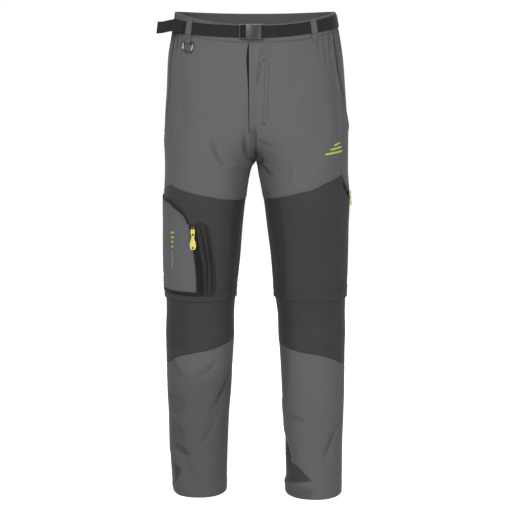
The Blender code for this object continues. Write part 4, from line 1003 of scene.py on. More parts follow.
@dataclass(frozen=True)
class LacqueredMetal:
    """Black lacquer over metal, unevenly worn, with bright bare metal painted on as highlights where the
    mesh's shade attribute asks.
    """

    name: str
    colour: tuple[float, float, float]
    # Colour of the painted highlights, shown as bare metal
    bare: tuple[float, float, float] = (0.42, 0.42, 0.43)

    def build(self) -> bpy.types.Material:
        """Return the material."""
        tree = ShaderTree(self.name)
        place = tree.coordinates("Object")
        wear = tree.noise(place, 320.0, 3.0)
        fine = tree.noise(place, 3000.0, 2.0)
        lacquer = tree.tint(wear ** 2.0, shade(self.colour, 0.1), shade(self.colour, 0.5))
        # Painted highlights: the lacquer gives way to bright bare metal where the shade attribute is high
        colour = tree.blend(tree.attribute("shade"), lacquer, self.bare)
        links = {"Base Color": colour, "Roughness": tree.span(wear, 0.16, 0.34),
                 "Normal": tree.bump(fine, 0.00001)}
        return tree.finish({"Metallic": 1.0, "Coat Weight": 1.0, "Coat Roughness": 0.06}, links)


@dataclass(frozen=True)
class Thread:
    """Sewing or embroidery thread, with a faint twist."""

    name: str
    colour: tuple[float, float, float]
    twist: float = 1700.0

    def build(self) -> bpy.types.Material:
        """Return the material."""
        tree = ShaderTree(self.name)
        place = tree.coordinates("Object")
        x, y, z = tree.parts(place)
        strands = ((x + y + z) * self.twist * 2.0).sine() * 0.5 + 0.5
        soft = tree.noise(place, 700.0, 2.0)
        colour = tree.tint(strands * 0.5 + soft * 0.5, shade(self.colour, 0.8), shade(self.colour, 1.2))
        links = {"Base Color": colour, "Roughness": tree.span(soft, 0.5, 0.7),
                 "Normal": tree.bump(strands, 0.00008)}
        return tree.finish({"Sheen Weight": 0.05, "Specular IOR Level": 0.3}, links)


@dataclass
class Finishes:
    """Every finish of the trousers, built once."""

    grey: bpy.types.Material = field(init=False)
    dark: bpy.types.Material = field(init=False)
    black: bpy.types.Material = field(init=False)
    tape: bpy.types.Material = field(init=False)
    webbing: bpy.types.Material = field(init=False)
    plastic: bpy.types.Material = field(init=False)
    metal: bpy.types.Material = field(init=False)
    rubber: bpy.types.Material = field(init=False)
    grey_thread: bpy.types.Material = field(init=False)
    dark_thread: bpy.types.Material = field(init=False)
    lime_thread: bpy.types.Material = field(init=False)
    pale_thread: bpy.types.Material = field(init=False)

    def __post_init__(self) -> None:
        """Build the materials."""
        self.grey = WovenCloth("grey_cloth", (0.127, 0.133, 0.138)).build()
        self.dark = WovenCloth("dark_cloth", (0.050, 0.050, 0.051), crinkle=0.0007).build()
        self.black = WovenCloth("black_cloth", (0.033, 0.033, 0.034), crinkle=0.0007, painted_shade_strength=0.8).build()
        self.tape = WovenCloth("zip_tape", (0.012, 0.012, 0.013), crinkle=0.0001, yarn=0.0008).build()
        self.webbing = Webbing("webbing", (0.018, 0.019, 0.021)).build()
        self.plastic = Moulded("black_plastic", (0.014, 0.014, 0.015), (0.2, 0.3)).build()
        self.metal = LacqueredMetal("dark_metal", (0.10, 0.10, 0.105)).build()
        self.rubber = Moulded("yellow_rubber", (0.87, 0.74, 0.12), (0.42, 0.58), 0.00005, 0.1).build()
        self.grey_thread = Thread("grey_thread", (0.112, 0.117, 0.122)).build()
        self.dark_thread = Thread("dark_thread", (0.026, 0.026, 0.027)).build()
        self.lime_thread = Thread("lime_thread", (0.50, 0.66, 0.07)).build()
        self.pale_thread = Thread("pale_thread", (0.40, 0.41, 0.42)).build()


# Meshes


def mesh_object(name: str, points: np.ndarray, faces: Sequence[Sequence[int]], material: bpy.types.Material,
                uvs: np.ndarray | None = None, sharp: float = 50.0) -> bpy.types.Object:
    """Make an object from points in millimetres.

    Args:
        name: The piece's name.
        points: Its points.
        faces: Its faces, as point numbers.
        material: Its finish.
        uvs: A place on the cloth for each point, in metres.
        sharp: The angle past which an edge isn't smoothed.

    Returns:
        The object, at the origin.
    """
    mesh = bpy.data.meshes.new(name)
    mesh.from_pydata((np.asarray(points) * MM).tolist(), [], faces)
    mesh.validate()
    if uvs is not None:
        layer = mesh.uv_layers.new(name="cloth")
        corners = np.empty(len(mesh.loops), dtype=np.int64)
        mesh.loops.foreach_get("vertex_index", corners)
        layer.data.foreach_set("uv", np.asarray(uvs, float)[corners].ravel())
    mesh.shade_smooth()
    mesh.set_sharp_from_angle(angle=math.radians(sharp))
    mesh.materials.append(material)
    made = bpy.data.objects.new(name, mesh)
    bpy.context.scene.collection.objects.link(made)
    return made


def signed_volume(points: np.ndarray, faces: Sequence[Sequence[int]]) -> float:
    """Return the volume that faces close in, below 0 where they point inwards."""
    triangles = [(face[0], face[i], face[i + 1]) for face in faces for i in range(1, len(face) - 1)]
    a, b, c = (np.asarray(points)[list(column)] for column in zip(*triangles))
    return float(np.einsum("ij,ij->i", a, np.cross(b, c)).sum() / 6.0)


def outward(points: np.ndarray, faces: list[tuple[int, ...]]) -> list[tuple[int, ...]]:
    """Return the faces of a closed mesh, all pointing outwards."""
    if signed_volume(points, faces) > 0:
        return faces
    return [tuple(reversed(face)) for face in faces]


def lengths_along(points: np.ndarray, axis: int) -> np.ndarray:
    """Return the running length of a grid of points along one of its axes."""
    steps = np.linalg.norm(np.diff(points, axis=axis), axis=-1)
    start = np.zeros_like(np.take(steps, [0], axis=axis))
    return np.concatenate([start, np.cumsum(steps, axis=axis)], axis=axis)


def set_shade(piece: bpy.types.Object, values: np.ndarray) -> None:
    """Give each point of a piece the amount of painted shade, or on the ring of painted highlight, that its
    finish shows.
    """
    layer = piece.data.attributes.new("shade", "FLOAT", "POINT")
    layer.data.foreach_set("value", values.ravel())


def wall_faces(rows: int, columns: int) -> np.ndarray:
    """Return the faces of a closed wall whose points are an outer grid and then an inner one."""
    number = np.arange(rows * columns).reshape(rows, columns)
    shift = rows * columns
    quads = np.stack([number[:-1, :-1], number[1:, :-1], number[1:, 1:], number[:-1, 1:]], axis=-1)
    quads = quads.reshape(-1, 4)
    rim = np.concatenate([number[0, :], number[1:, -1], number[-1, -2::-1], number[-2:0:-1, 0]])
    after = np.roll(rim, -1)
    sides = np.stack([rim, after, after + shift, rim + shift], axis=-1)
    return np.concatenate([quads, quads[:, ::-1] + shift, sides])


def shell(name: str, outer: np.ndarray, inner: np.ndarray, material: bpy.types.Material,
          painted_shade: np.ndarray | None = None) -> bpy.types.Object:
    """Make a closed cloth wall from two grids of points.

    Args:
        name: The piece's name.
        outer: Points of the outer face, rows by columns.
        inner: Points of the inner face, in the same order.
        material: The cloth.
        painted_shade: How much painted shade darkens each outer point, from 0 to 1.

    Returns:
        The object, with a UV map in metres along and down the cloth.
    """
    points = np.concatenate([outer.reshape(-1, 3), inner.reshape(-1, 3)])
    faces = [tuple(face) for face in wall_faces(*outer.shape[:2]).tolist()]
    run = lengths_along(outer, 1)
    run = run - run[:, -1:] / 2
    uv = np.stack([run, -lengths_along(outer, 0)], axis=-1).reshape(-1, 2) * MM
    piece = mesh_object(name, points, outward(points, faces), material, np.concatenate([uv, uv]))
    if painted_shade is not None:
        set_shade(piece, np.concatenate([painted_shade.ravel(), np.zeros(painted_shade.size)]))
    return piece


def graded(length: float, cell: float = CELL, fine: tuple[float, float] | None = None) -> np.ndarray:
    """Return shares of a length, close together at its ends.

    Args:
        length: The length in millimetres.
        cell: How far apart the shares lie between the ends.
        fine: A stretch, as two shares, that has fine cells instead.

    Returns:
        The shares, from 0 to 1.
    """
    margin = min(EDGE_CELLS[-1], length / 3)
    ends = np.array(EDGE_CELLS) * margin / EDGE_CELLS[-1]
    marks = np.linspace(margin, length - margin, 400)
    size = np.full(marks.shape, cell)
    if fine is not None:
        size[(marks >= fine[0] * length) & (marks <= fine[1] * length)] = FINE_CELL
    count = np.concatenate([[0.0], np.cumsum(np.diff(marks) / size[1:])])
    whole = max(2, math.ceil(count[-1]))
    middle = np.interp(np.linspace(0.0, count[-1], whole + 1)[1:-1], count, marks)
    return np.concatenate([ends, middle, length - ends[::-1]]) / length


def flat_cut(plain: np.ndarray, fold_ease: float = 1.03) -> tuple[float, float, float]:
    """Return the cut that a grid of unfolded points needs.

    Args:
        plain: The points in millimetres, rows by columns.
        fold_ease: How much longer the cloth is than its unfolded form.

    Returns:
        Its width, length and area in metres.
    """
    width = float(lengths_along(plain, 1)[:, -1].max()) * MM * fold_ease
    length = float(lengths_along(plain, 0)[-1, :].max()) * MM * fold_ease
    a = plain[:-1, :-1] - plain[1:, 1:]
    b = plain[:-1, 1:] - plain[1:, :-1]
    area = float(np.linalg.norm(np.cross(a, b), axis=-1).sum()) / 2 * MM * MM * fold_ease ** 2
    width, length = max(width, NARROWEST), max(length, NARROWEST)
    return width, length, min(area, width * length)


class Edge(Enum):
    """How a cloth panel ends."""

    SEAM = "seam"
    FREE = "free"


Border = Callable[[np.ndarray], np.ndarray]


def level(value: float) -> Border:
    """Return a border that stays at one value."""
    return lambda other: np.full(np.shape(other), float(value))


@dataclass
class Panel:
    """One cloth panel between two borders by height and two by across.

    Args:
        name: The piece's name.
        side: Which half it is on.
        near: Across of the border nearest the front centre, by height.
        far: Across of the border furthest from it, by height.
        top: Height of the upper border, by across.
        foot: Height of the lower border, by across.
        edges: How the near, far, top and foot borders end.
        lift: Distance out of the form, by across and height.
        hem: Height of a turned hem at the foot, or 0.
        wall: Thickness of the cloth.
        fine: A stretch by across, as two shares, that has fine cells.
        tone: How much painted shade darkens the cloth, by across and height.
    """

    name: str
    side: float
    near: Border
    far: Border
    top: Border
    foot: Border
    edges: tuple[Edge, Edge, Edge, Edge] = (Edge.SEAM, Edge.SEAM, Edge.SEAM, Edge.SEAM)
    lift: Callable[[np.ndarray, np.ndarray], np.ndarray] | None = None
    hem: float = 0.0
    wall: float = CLOTH
    fine: tuple[float, float] | None = None
    tone: Callable[[np.ndarray, np.ndarray], np.ndarray] | None = None
    across: np.ndarray = field(init=False)
    height: np.ndarray = field(init=False)
    outer: np.ndarray = field(init=False)

    SEAM_LAP = 0.06
    SEAM_DROP = 1.0
    SEAM_WIDTH = 1.5
    PUCKER = 0.28
    PUCKER_PITCH = 8.5
    PUCKER_REACH = 9.0
    HEM_RISE = 0.5
    # Painted shade in creases, in gathers and beside seams
    CREASE_PAINTED_SHADE = 0.9
    GATHER_PAINTED_SHADE = 0.6
    SEAM_PAINTED_SHADE = 0.5

    def layout(self) -> None:
        """Work out the grid of places."""
        mid_height = float(self.top(np.array(0.3)) + self.foot(np.array(0.3))) / 2
        span = float(self.far(np.array(mid_height)) - self.near(np.array(mid_height)))
        width = span * float(FORM.girth(np.array(self.side), np.array(mid_height)))
        length = float(np.max(self.top(np.linspace(0, 1, 21)) - self.foot(np.linspace(0, 1, 21))))
        s, t = np.meshgrid(graded(width, fine=self.fine), graded(length))
        self.height = mix(self.top(s), self.foot(s), t)
        self.across = s
        for _ in range(12):
            self.across = mix(self.near(self.height), self.far(self.height), s)
            self.height = mix(self.top(self.across), self.foot(self.across), t)
        girth = FORM.girth(np.full(s.shape, self.side), self.height)
        width = (self.far(self.height) - self.near(self.height)) * girth
        length = self.top(self.across) - self.foot(self.across)
        self.distances = (s * width, (1 - s) * width, t * length, (1 - t) * length)

    def relief(self) -> np.ndarray:
        """Return the seams' grooves, their puckers and the hem's step."""
        girth = FORM.girth(np.full(self.across.shape, self.side), self.height)
        run = (self.across * girth, self.height)
        off = np.zeros(self.across.shape)
        for number, (distance, edge) in enumerate(zip(self.distances, self.edges)):
            if edge is Edge.FREE:
                continue
            off -= self.SEAM_DROP * np.exp(-(distance / self.SEAM_WIDTH) ** 2)
            along = run[1] if number < 2 else run[0]
            wave = np.sin(2 * math.pi * along / self.PUCKER_PITCH + 2.0 * np.sin(along / 23.0))
            off += self.PUCKER * wave * np.exp(-distance / self.PUCKER_REACH) * ease(distance / 2.0)
        if self.hem:
            off += self.HEM_RISE * (1.0 - ease((self.distances[3] - self.hem + 1.0) / 2.0))
        return off

    def build(self, material: bpy.types.Material) -> bpy.types.Object:
        """Return the panel's shell."""
        self.layout()
        side = np.full(self.across.shape, self.side)
        lift = self.lift(self.across, self.height) if self.lift else 0.0
        off = self.relief() + lift
        self.outer = self.meet(FORM.place(side, self.across, self.height, off))
        inner = self.meet(FORM.place(side, self.across, self.height, off - self.wall))
        return shell(self.name, self.outer, inner, material, self.painted_shade())

    def painted_shade(self) -> np.ndarray:
        """Return how much painted shade darkens each point, from 0 to 1: in creases, gathers, hollows and
        beside seams, plus the panel's own tone.
        """
        side = np.full(self.across.shape, self.side)
        crease = FORM.crease_depth(side, self.across, self.height)
        gather = FORM.gather_depth(self.across, self.height)
        painted_shade = self.CREASE_PAINTED_SHADE * ease((-crease - 0.4) / 4.6)
        painted_shade = painted_shade + self.GATHER_PAINTED_SHADE * ease((-gather - 0.9) / 2.6)
        painted_shade = np.maximum(painted_shade, FORM.hollows(side, self.across, self.height)[1])
        if self.tone:
            painted_shade = painted_shade + self.tone(self.across, self.height)
        for distance, edge in zip(self.distances, self.edges):
            if edge is Edge.SEAM:
                painted_shade = painted_shade + self.SEAM_PAINTED_SHADE * np.exp(-(distance / 1.1) ** 2)
        return np.clip(painted_shade, 0.0, 1.0)

    def meet(self, points: np.ndarray) -> np.ndarray:
        """Bring a centre seam to the middle plane above the crotch, where the two halves join."""
        for column, middle in ((0, 0.0), (-1, 1.0)):
            if abs(float(self.across[0, column]) - middle) > 0.001:
                continue
            above = ease((self.height[:, column] - CROTCH) / 8.0 + 0.5)
            miss = (-self.side * self.SEAM_LAP - points[:, column, 0]) * above
            points[..., 0] += miss[:, None] * np.exp(-(self.distances[-column] / 6.0) ** 2)
        return points

    def cut(self) -> tuple[float, float, float]:
        """Return the width, length and area of the flat cut, in metres."""
        side = np.full(self.across.shape, self.side)
        return flat_cut(FORM.place(side, self.across, self.height, 0.0, False))


def dress(piece: bpy.types.Object, nodes: Sequence[str] = (), body: str = "trousers") -> None:
    """Ride a piece on its body, hide the parts that it stands for, and report it."""
    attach(piece, body)
    if nodes:
        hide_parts(*nodes)
    LOG.info("%s: %d faces", piece.name, len(piece.data.polygons))


def laid(name: str, side: np.ndarray | float, across: np.ndarray, height: np.ndarray,
         off: np.ndarray | float, wall: np.ndarray | float,
         folded: bool = True) -> tuple[np.ndarray, np.ndarray]:
    """Return the outer and inner points of a piece that follows the form."""
    outer = FORM.place(side, across, height, off, folded)
    LOG.info("%s: %d by %d points", name, *outer.shape[:2])
    return outer, FORM.place(side, across, height, off - wall, folded)


def dress_sheet(piece: bpy.types.Object, plain: np.ndarray, nodes: Sequence[str]) -> bpy.types.Object:
    """Dress a cloth piece and work out the cut that its unfolded points need, which is not used further."""
    dress(piece, nodes)
    width, length, area = flat_cut(plain)
    return piece


def dress_panel(panel: Panel, material: bpy.types.Material, nodes: Sequence[str]) -> bpy.types.Object:
    """Build a panel, dress it and work out its cut, which is not used further."""
    piece = panel.build(material)
    dress(piece, nodes)
    width, length, area = panel.cut()
    return piece


# Stitches and zip teeth, laid along lines by Geometry Nodes


class RowKind(Enum):
    """What a row repeats."""

    STITCH = "stitch"
    TOOTH = "tooth"


@dataclass(frozen=True)
class RowSize:
    """Sizes of one repeated thing in metres."""

    pitch: float
    length: float
    radius: float
    flatness: float = 1.0


ZIP_TEETH = RowSize(pitch=0.0019, length=0.0011, radius=0.0021, flatness=0.28)


class RowMaker:
    """Lays small pieces along lines with one Geometry Nodes tree."""

    def __init__(self, kind: RowKind, seed: int = 7) -> None:
        """Make the tree.

        Args:
            kind: What is repeated.
            seed: Seed of the small turns that make the pieces uneven.
        """
        self.kind = kind
        self.seed = seed
        self.tree = bpy.data.node_groups.new(f"{kind.value}_row", "GeometryNodeTree")
        self.sockets: dict[str, str] = {}
        self._build()

    def _socket(self, name: str, kind: str, value: object = None) -> None:
        """Add a named input to the tree."""
        made = self.tree.interface.new_socket(name=name, in_out="INPUT", socket_type=kind)
        if value is not None:
            made.default_value = value
        self.sockets[name] = made.identifier

    def _node(self, kind: str, settings: dict[str, object] | None = None,
              inputs: dict[str | int, object] | None = None) -> bpy.types.Node:
        """Add a node with its settings, values and links."""
        made = self.tree.nodes.new(kind)
        for name, value in (settings or {}).items():
            setattr(made, name, value)
        for key, value in (inputs or {}).items():
            if isinstance(value, bpy.types.NodeSocket):
                self.tree.links.new(value, made.inputs[key])
            else:
                made.inputs[key].default_value = value
        return made

    def _build(self) -> None:
        """Build the tree: line, evenly spaced points, one small piece on each, realized and finished."""
        self.tree.interface.new_socket(name="Geometry", in_out="OUTPUT", socket_type="NodeSocketGeometry")
        self._socket("Line", "NodeSocketGeometry")
        self._socket("Pitch", "NodeSocketFloat", 0.003)
        self._socket("Piece", "NodeSocketObject")
        self._socket("Turn", "NodeSocketFloat", 0.05)
        self._socket("Seed", "NodeSocketInt", self.seed)
        self._socket("Finish", "NodeSocketMaterial")
        start = self._node("NodeGroupInput").outputs
        line = self._node("GeometryNodeMeshToCurve", inputs={0: start["Line"]})
        spaced = self._node("GeometryNodeResampleCurve", inputs={"Curve": line.outputs[0]})
        if "Mode" in spaced.inputs:
            spaced.inputs["Mode"].default_value = "Length"
        else:
            spaced.mode = "LENGTH"
        self.tree.links.new(start["Pitch"], spaced.inputs["Length"])
        tangent = self._node("GeometryNodeInputTangent")
        aligned = self._node("FunctionNodeAlignEulerToVector", {"axis": "X"}, {"Vector": tangent.outputs[0]})
        lower = self._node("ShaderNodeMath", {"operation": "MULTIPLY"}, {0: start["Turn"], 1: -1.0})
        turn = self._node("FunctionNodeRandomValue", {"data_type": "FLOAT"},
                          {2: lower.outputs[0], 3: start["Turn"], "Seed": start["Seed"]})
        lean = self._node("ShaderNodeCombineXYZ", inputs={2: turn.outputs[1]})
        turned = self._node("FunctionNodeRotateEuler", {"rotation_type": "EULER", "space": "LOCAL"},
                            {"Rotation": aligned.outputs[0], "Rotate By": lean.outputs[0]})
        piece = self._node("GeometryNodeObjectInfo", inputs={"Object": start["Piece"]})
        laid = self._node("GeometryNodeInstanceOnPoints", inputs={
            "Points": spaced.outputs[0], "Instance": piece.outputs["Geometry"],
            "Rotation": turned.outputs[0]})
        whole = self._node("GeometryNodeRealizeInstances", inputs={0: laid.outputs[0]})
        dressed = self._node("GeometryNodeSetMaterial",
                             inputs={"Geometry": whole.outputs[0], "Material": start["Finish"]})
        smooth = self._node("GeometryNodeSetShadeSmooth", inputs={0: dressed.outputs[0]})
        end = self.tree.nodes.new("NodeGroupOutput")
        self.tree.links.new(smooth.outputs[0], end.inputs["Geometry"])

    def _pattern(self, size: RowSize) -> bpy.types.Object:
        """Return the small piece that is repeated."""
        half, radius = size.length / 2, size.radius
        if self.kind is RowKind.STITCH:
            rings = ((-half, 0.0, -0.6), (-half * 0.6, 0.85, 0.1), (half * 0.6, 0.85, 0.1), (half, 0.0, -0.6))
            sides = 5
        else:
            rings = ((-half, 0.0, 0.0), (-half, 1.0, 0.0), (half, 1.0, 0.0), (half, 0.0, 0.0))
            sides = 6
        points = [Vector((rings[0][0], 0.0, rings[0][2] * radius))]
        for x, share, rise in rings[1:3]:
            for k in range(sides):
                a = 2 * math.pi * k / sides
                points.append(Vector((x, math.cos(a) * radius * share,
                                      (math.sin(a) * share * size.flatness + rise) * radius)))
        points.append(Vector((rings[3][0], 0.0, rings[3][2] * radius)))
        last = len(points) - 1
        faces = []
        for k in range(sides):
            m = (k + 1) % sides
            faces += [(0, 1 + m, 1 + k), (last, 1 + sides + k, 1 + sides + m),
                      (1 + k, 1 + m, 1 + sides + m, 1 + sides + k)]
        mesh = bpy.data.meshes.new("pattern")
        mesh.from_pydata(points, [], faces)
        return bpy.data.objects.new("pattern", mesh)

    def lay(self, name: str, lines: Sequence[np.ndarray], size: RowSize, material: bpy.types.Material,
            turn: float = 0.06) -> bpy.types.Object:
        """Lay pieces along lines.

        Args:
            name: The piece's name.
            lines: Arrays of points in millimetres.
            size: The repeated thing's sizes.
            material: Its finish.
            turn: How far a piece may be turned, in radians.

        Returns:
            A plain mesh object.
        """
        points: list[list[float]] = []
        links: list[tuple[int, int]] = []
        for line in lines:
            start = len(points)
            points += (np.asarray(line) * MM).tolist()
            links += [(start + i, start + i + 1) for i in range(len(line) - 1)]
        mesh = bpy.data.meshes.new(name)
        mesh.from_pydata(points, links, [])
        carrier = bpy.data.objects.new(name, mesh)
        bpy.context.scene.collection.objects.link(carrier)
        pattern = self._pattern(size)
        nodes = carrier.modifiers.new("row", "NODES")
        nodes.node_group = self.tree
        values = {"Pitch": size.pitch, "Piece": pattern, "Turn": turn, "Seed": self.seed, "Finish": material}
        for label, value in values.items():
            nodes[self.sockets[label]] = value
        evaluated = carrier.evaluated_get(bpy.context.evaluated_depsgraph_get())
        laid = bpy.data.meshes.new_from_object(evaluated)
        carrier.modifiers.clear()
        carrier.data = laid
        if not laid.materials:
            laid.materials.append(material)
        bpy.data.objects.remove(pattern)
        return carrier


@dataclass
class Sewing:
    """Collects seam lines by thread and sews them at the end."""

    finishes: Finishes
    lines: dict[str, list[np.ndarray]] = field(default_factory=lambda: {"grey": [], "dark": []})

    STITCH = RowSize(pitch=0.0034, length=0.0027, radius=0.00032)
    LINE_STEP = 4.0

    def along(self, thread: str, side: float, places: Sequence[tuple[float, float]], off: float,
              folded: bool = True) -> None:
        """Add a line through places on one half, each an across and a height."""
        table = np.array(places, float)
        girth = float(FORM.girth(np.array(side), np.array(table[:, 1].mean())))
        gaps = np.hypot(np.diff(table[:, 0]) * girth, np.diff(table[:, 1]))
        run = np.concatenate([[0.0], np.cumsum(gaps)])
        marks = np.linspace(0.0, run[-1], max(2, round(run[-1] / self.LINE_STEP)))
        across = np.interp(marks, run, table[:, 0])
        height = np.interp(marks, run, table[:, 1])
        self.on_form(thread, side, across, height, off, folded)

    def on_form(self, thread: str, side: np.ndarray | float, across: np.ndarray | float,
                height: np.ndarray | float, off: np.ndarray | float, folded: bool = True) -> None:
        """Add a line of places on the form, moved out of it by off."""
        self.points(thread, FORM.place(side, across, height, off, folded))

    def at_front(self, thread: str, x: np.ndarray, height: np.ndarray | float, off: float) -> None:
        """Add a line of front places at x."""
        side, across = FORM.across_at(x, height)
        self.on_form(thread, side, across, height, off)

    def points(self, thread: str, line: np.ndarray) -> None:
        """Add a line of points in millimetres."""
        self.lines[thread].append(np.asarray(line))

    def bar(self, thread: str, start: np.ndarray, end: np.ndarray, rows: int, gap: np.ndarray) -> None:
        """Add a bar tack: short rows side by side from start to end."""
        for i in range(rows):
            shift = gap * (i - (rows - 1) / 2)
            self.points(thread, np.array([start + shift, end + shift]))

    def sew(self) -> None:
        """Lay every stitch."""
        maker = RowMaker(RowKind.STITCH)
        materials = {"grey": self.finishes.grey_thread, "dark": self.finishes.dark_thread}
        for thread, material in materials.items():
            piece = maker.lay(f"{thread}_stitches", self.lines[thread], self.STITCH, material)
            dress(piece)


# Cloth panels


def leg_lift(_: np.ndarray, height: np.ndarray) -> np.ndarray:
    """Return the zip-off leg's distance out of the form: inside the flap at its top, then level with it."""
    return -LEG_INSET * (1.0 - ease((INSET_FADE_FROM - height) / INSET_FADE_OVER))


def side_seam(side: float, height: np.ndarray) -> np.ndarray:
    """Return where a zip-off leg's side seam lies. On the right it swings forwards below the flap."""
    swing = 0.045 * np.exp(-((np.asarray(height) + 628.0) / 24.0) ** 2) if side == RIGHT else 0.0
    return 0.5 - swing + np.zeros(np.shape(height))


@dataclass
class Shell:
    """Grey and dark cloth panels from the waist seam to the hems."""

    finishes: Finishes
    sewing: Sewing
    hem: float = 20.0
    flap_hem: float = 22.0
    yoke: float = -92.0
    yoke_drop: float = 22.0

    def build(self) -> None:
        """Build every panel of both legs."""
        for name, side in SIDES.items():
            self.front(name, side)
            self.facing(name, side)
            self.back(name, side)
            self.thigh(name, side)
            self.zip_off_leg(name, side)
            self.knee_zip(name, side)

    def front(self, name: str, side: float) -> None:
        """Build a front panel, its pocket mouth and its stitching."""
        mouth = MOUTH[side]

        def gape(across: np.ndarray, height: np.ndarray) -> np.ndarray:
            """Lift the pocket mouth off its facing."""
            near = (mouth(height) - across) * HALF_WAIST
            open_here = ease((height - MOUTH_FOOT) / 20.0)
            return MOUTH_GAPE * np.exp(-(near / 9.0) ** 2) * open_here

        panel = Panel(f"front_{name}_cloth", side, level(0.0), mouth, level(WAIST_SEAM), THIGH_EDGE[side],
                      (Edge.SEAM, Edge.FREE, Edge.SEAM, Edge.SEAM), gape, fine=(0.7, 1.0))
        dress_panel(panel, self.finishes.grey, [f"front_{name}"])
        for inset_by in (0.006, 0.020):
            edge = [(float(mouth(h)) - inset_by, h) for h in np.linspace(-40, MOUTH_FOOT + 6, 40)]
            self.sewing.along("grey", side, edge, MOUTH_GAPE + 0.1)
        for drop in (2.2, 7.5):
            line = [(a, float(THIGH_EDGE[side](a)) + drop) for a in np.linspace(0.004, 0.49, 60)]
            self.sewing.along("grey", side, line, 0.12)

    def facing(self, name: str, side: float) -> None:
        """Build the facing that shows inside a pocket mouth."""
        mouth = MOUTH[side]
        tuck = 0.03

        def under(across: np.ndarray, height: np.ndarray) -> np.ndarray:
            """Tuck the facing in behind the pocket mouth."""
            past = (across - mouth(height)) * HALF_WAIST
            return -1.9 * (1.0 - ease((past - 1.0) / 9.0))

        def shadow(across: np.ndarray, height: np.ndarray) -> np.ndarray:
            """Darken the facing just behind the pocket mouth."""
            past = (across - mouth(height)) * HALF_WAIST
            return 0.98 * (1.0 - ease((past - 4.0) / 14.0)) * ease((height - MOUTH_FOOT) / 40.0)

        panel = Panel(f"facing_{name}_cloth", side, lambda h: np.minimum(mouth(h) - tuck, 0.47), level(0.5),
                      level(WAIST_SEAM), level(MOUTH_FOOT - 8.0),
                      (Edge.FREE, Edge.SEAM, Edge.SEAM, Edge.FREE), under, fine=(0.0, 1.0), tone=shadow)
        dress_panel(panel, self.finishes.grey, [f"hip_facing_{name}"])

    def yoke_line(self, across: np.ndarray | float) -> np.ndarray:
        """Return the height of the yoke seam."""
        return self.yoke - self.yoke_drop * ease((across - 0.55) / 0.45)

    def flap_stitches(self, thread: str, side: float, start: float, end: float) -> None:
        """Sew the double line of the flap's hem."""
        for up in (18.0, 21.5):
            line = [(a, FLAP_EDGE + up) for a in np.linspace(start, end, 60)]
            self.sewing.along(thread, side, line, 0.62)

    def back(self, name: str, side: float) -> None:
        """Build a back panel down to the zip-off flap, with its yoke line and seat seam."""

        def yoke(across: np.ndarray, height: np.ndarray) -> np.ndarray:
            """Step the cloth at the yoke seam."""
            above = height - self.yoke_line(across)
            return 0.35 * np.tanh(above / 0.8) - 0.5 * np.exp(-(above / 1.3) ** 2)

        panel = Panel(f"back_{name}_cloth", side, level(0.5), level(1.0), level(WAIST_SEAM), level(FLAP_EDGE),
                      (Edge.SEAM, Edge.SEAM, Edge.SEAM, Edge.FREE), yoke, self.flap_hem, fine=(0.0, 0.3))
        dress_panel(panel, self.finishes.grey, [f"back_{name}"])
        for up in (7.6, 2.0):
            line = [(a, float(self.yoke_line(a)) + up) for a in np.linspace(0.51, 0.995, 60)]
            self.sewing.along("grey", side, line, 0.5)
        for inset_by in (0.006, 0.017):
            seam = [(0.5 + inset_by, h) for h in np.linspace(-92, FLAP_EDGE + 2, 90)]
            self.sewing.along("grey", side, seam, -0.1)
            seat = [(1.0 - inset_by, h) for h in np.linspace(-42, -306, 50)]
            self.sewing.along("grey", side, seat, 0.1)
        self.flap_stitches("grey", side, 0.505, 0.995)

    def thigh(self, name: str, side: float) -> None:
        """Build a dark thigh panel down to the zip-off flap."""
        panel = Panel(f"thigh_{name}_cloth", side, level(0.0), level(0.5), THIGH_EDGE[side], level(FLAP_EDGE),
                      (Edge.SEAM, Edge.SEAM, Edge.SEAM, Edge.FREE), None, self.flap_hem)
        dress_panel(panel, self.finishes.dark, [f"thigh_{name}"])
        self.flap_stitches("dark", side, 0.005, 0.495)

    def zip_off_leg(self, name: str, side: float) -> None:
        """Build the dark knee, grey shin and grey calf of a zip-off leg."""
        foot = level(HEM[name])
        knee = Panel(f"knee_{name}_cloth", side, level(0.0), lambda h: side_seam(side, h), level(LEG_TOP),
                     KNEE_EDGE[side], lift=leg_lift)
        dress_panel(knee, self.finishes.dark, [f"knee_{name}"])
        shin = Panel(f"shin_{name}_cloth", side, level(0.0), level(0.5), KNEE_EDGE[side], foot,
                     (Edge.SEAM, Edge.SEAM, Edge.SEAM, Edge.FREE), leg_lift, self.hem)
        dress_panel(shin, self.finishes.grey, [f"shin_{name}"])
        calf = Panel(f"calf_{name}_cloth", side, lambda h: side_seam(side, h), level(1.0), level(LEG_TOP),
                     foot, (Edge.SEAM, Edge.SEAM, Edge.SEAM, Edge.FREE), leg_lift, self.hem)
        dress_panel(calf, self.finishes.grey, [f"calf_{name}"])
        for start, end in ((0.005, 0.495), (0.505, 0.995)):
            hem = [(a, HEM[name] + self.hem - 2.0) for a in np.linspace(start, end, 60)]
            self.sewing.along("grey", side, hem, 0.62)
        for drop in (2.4, 8.0):
            line = [(a, float(KNEE_EDGE[side](a)) - drop) for a in np.linspace(0.004, 0.49, 60)]
            self.sewing.along("grey", side, line, 0.05)
        for start, end, height in ((0.13, 0.27, -613.0), (0.10, 0.30, -617.0)):
            line = [(a, height) for a in np.linspace(start, end, 30)]
            self.sewing.along("dark", side, line, -LEG_INSET + 0.15)

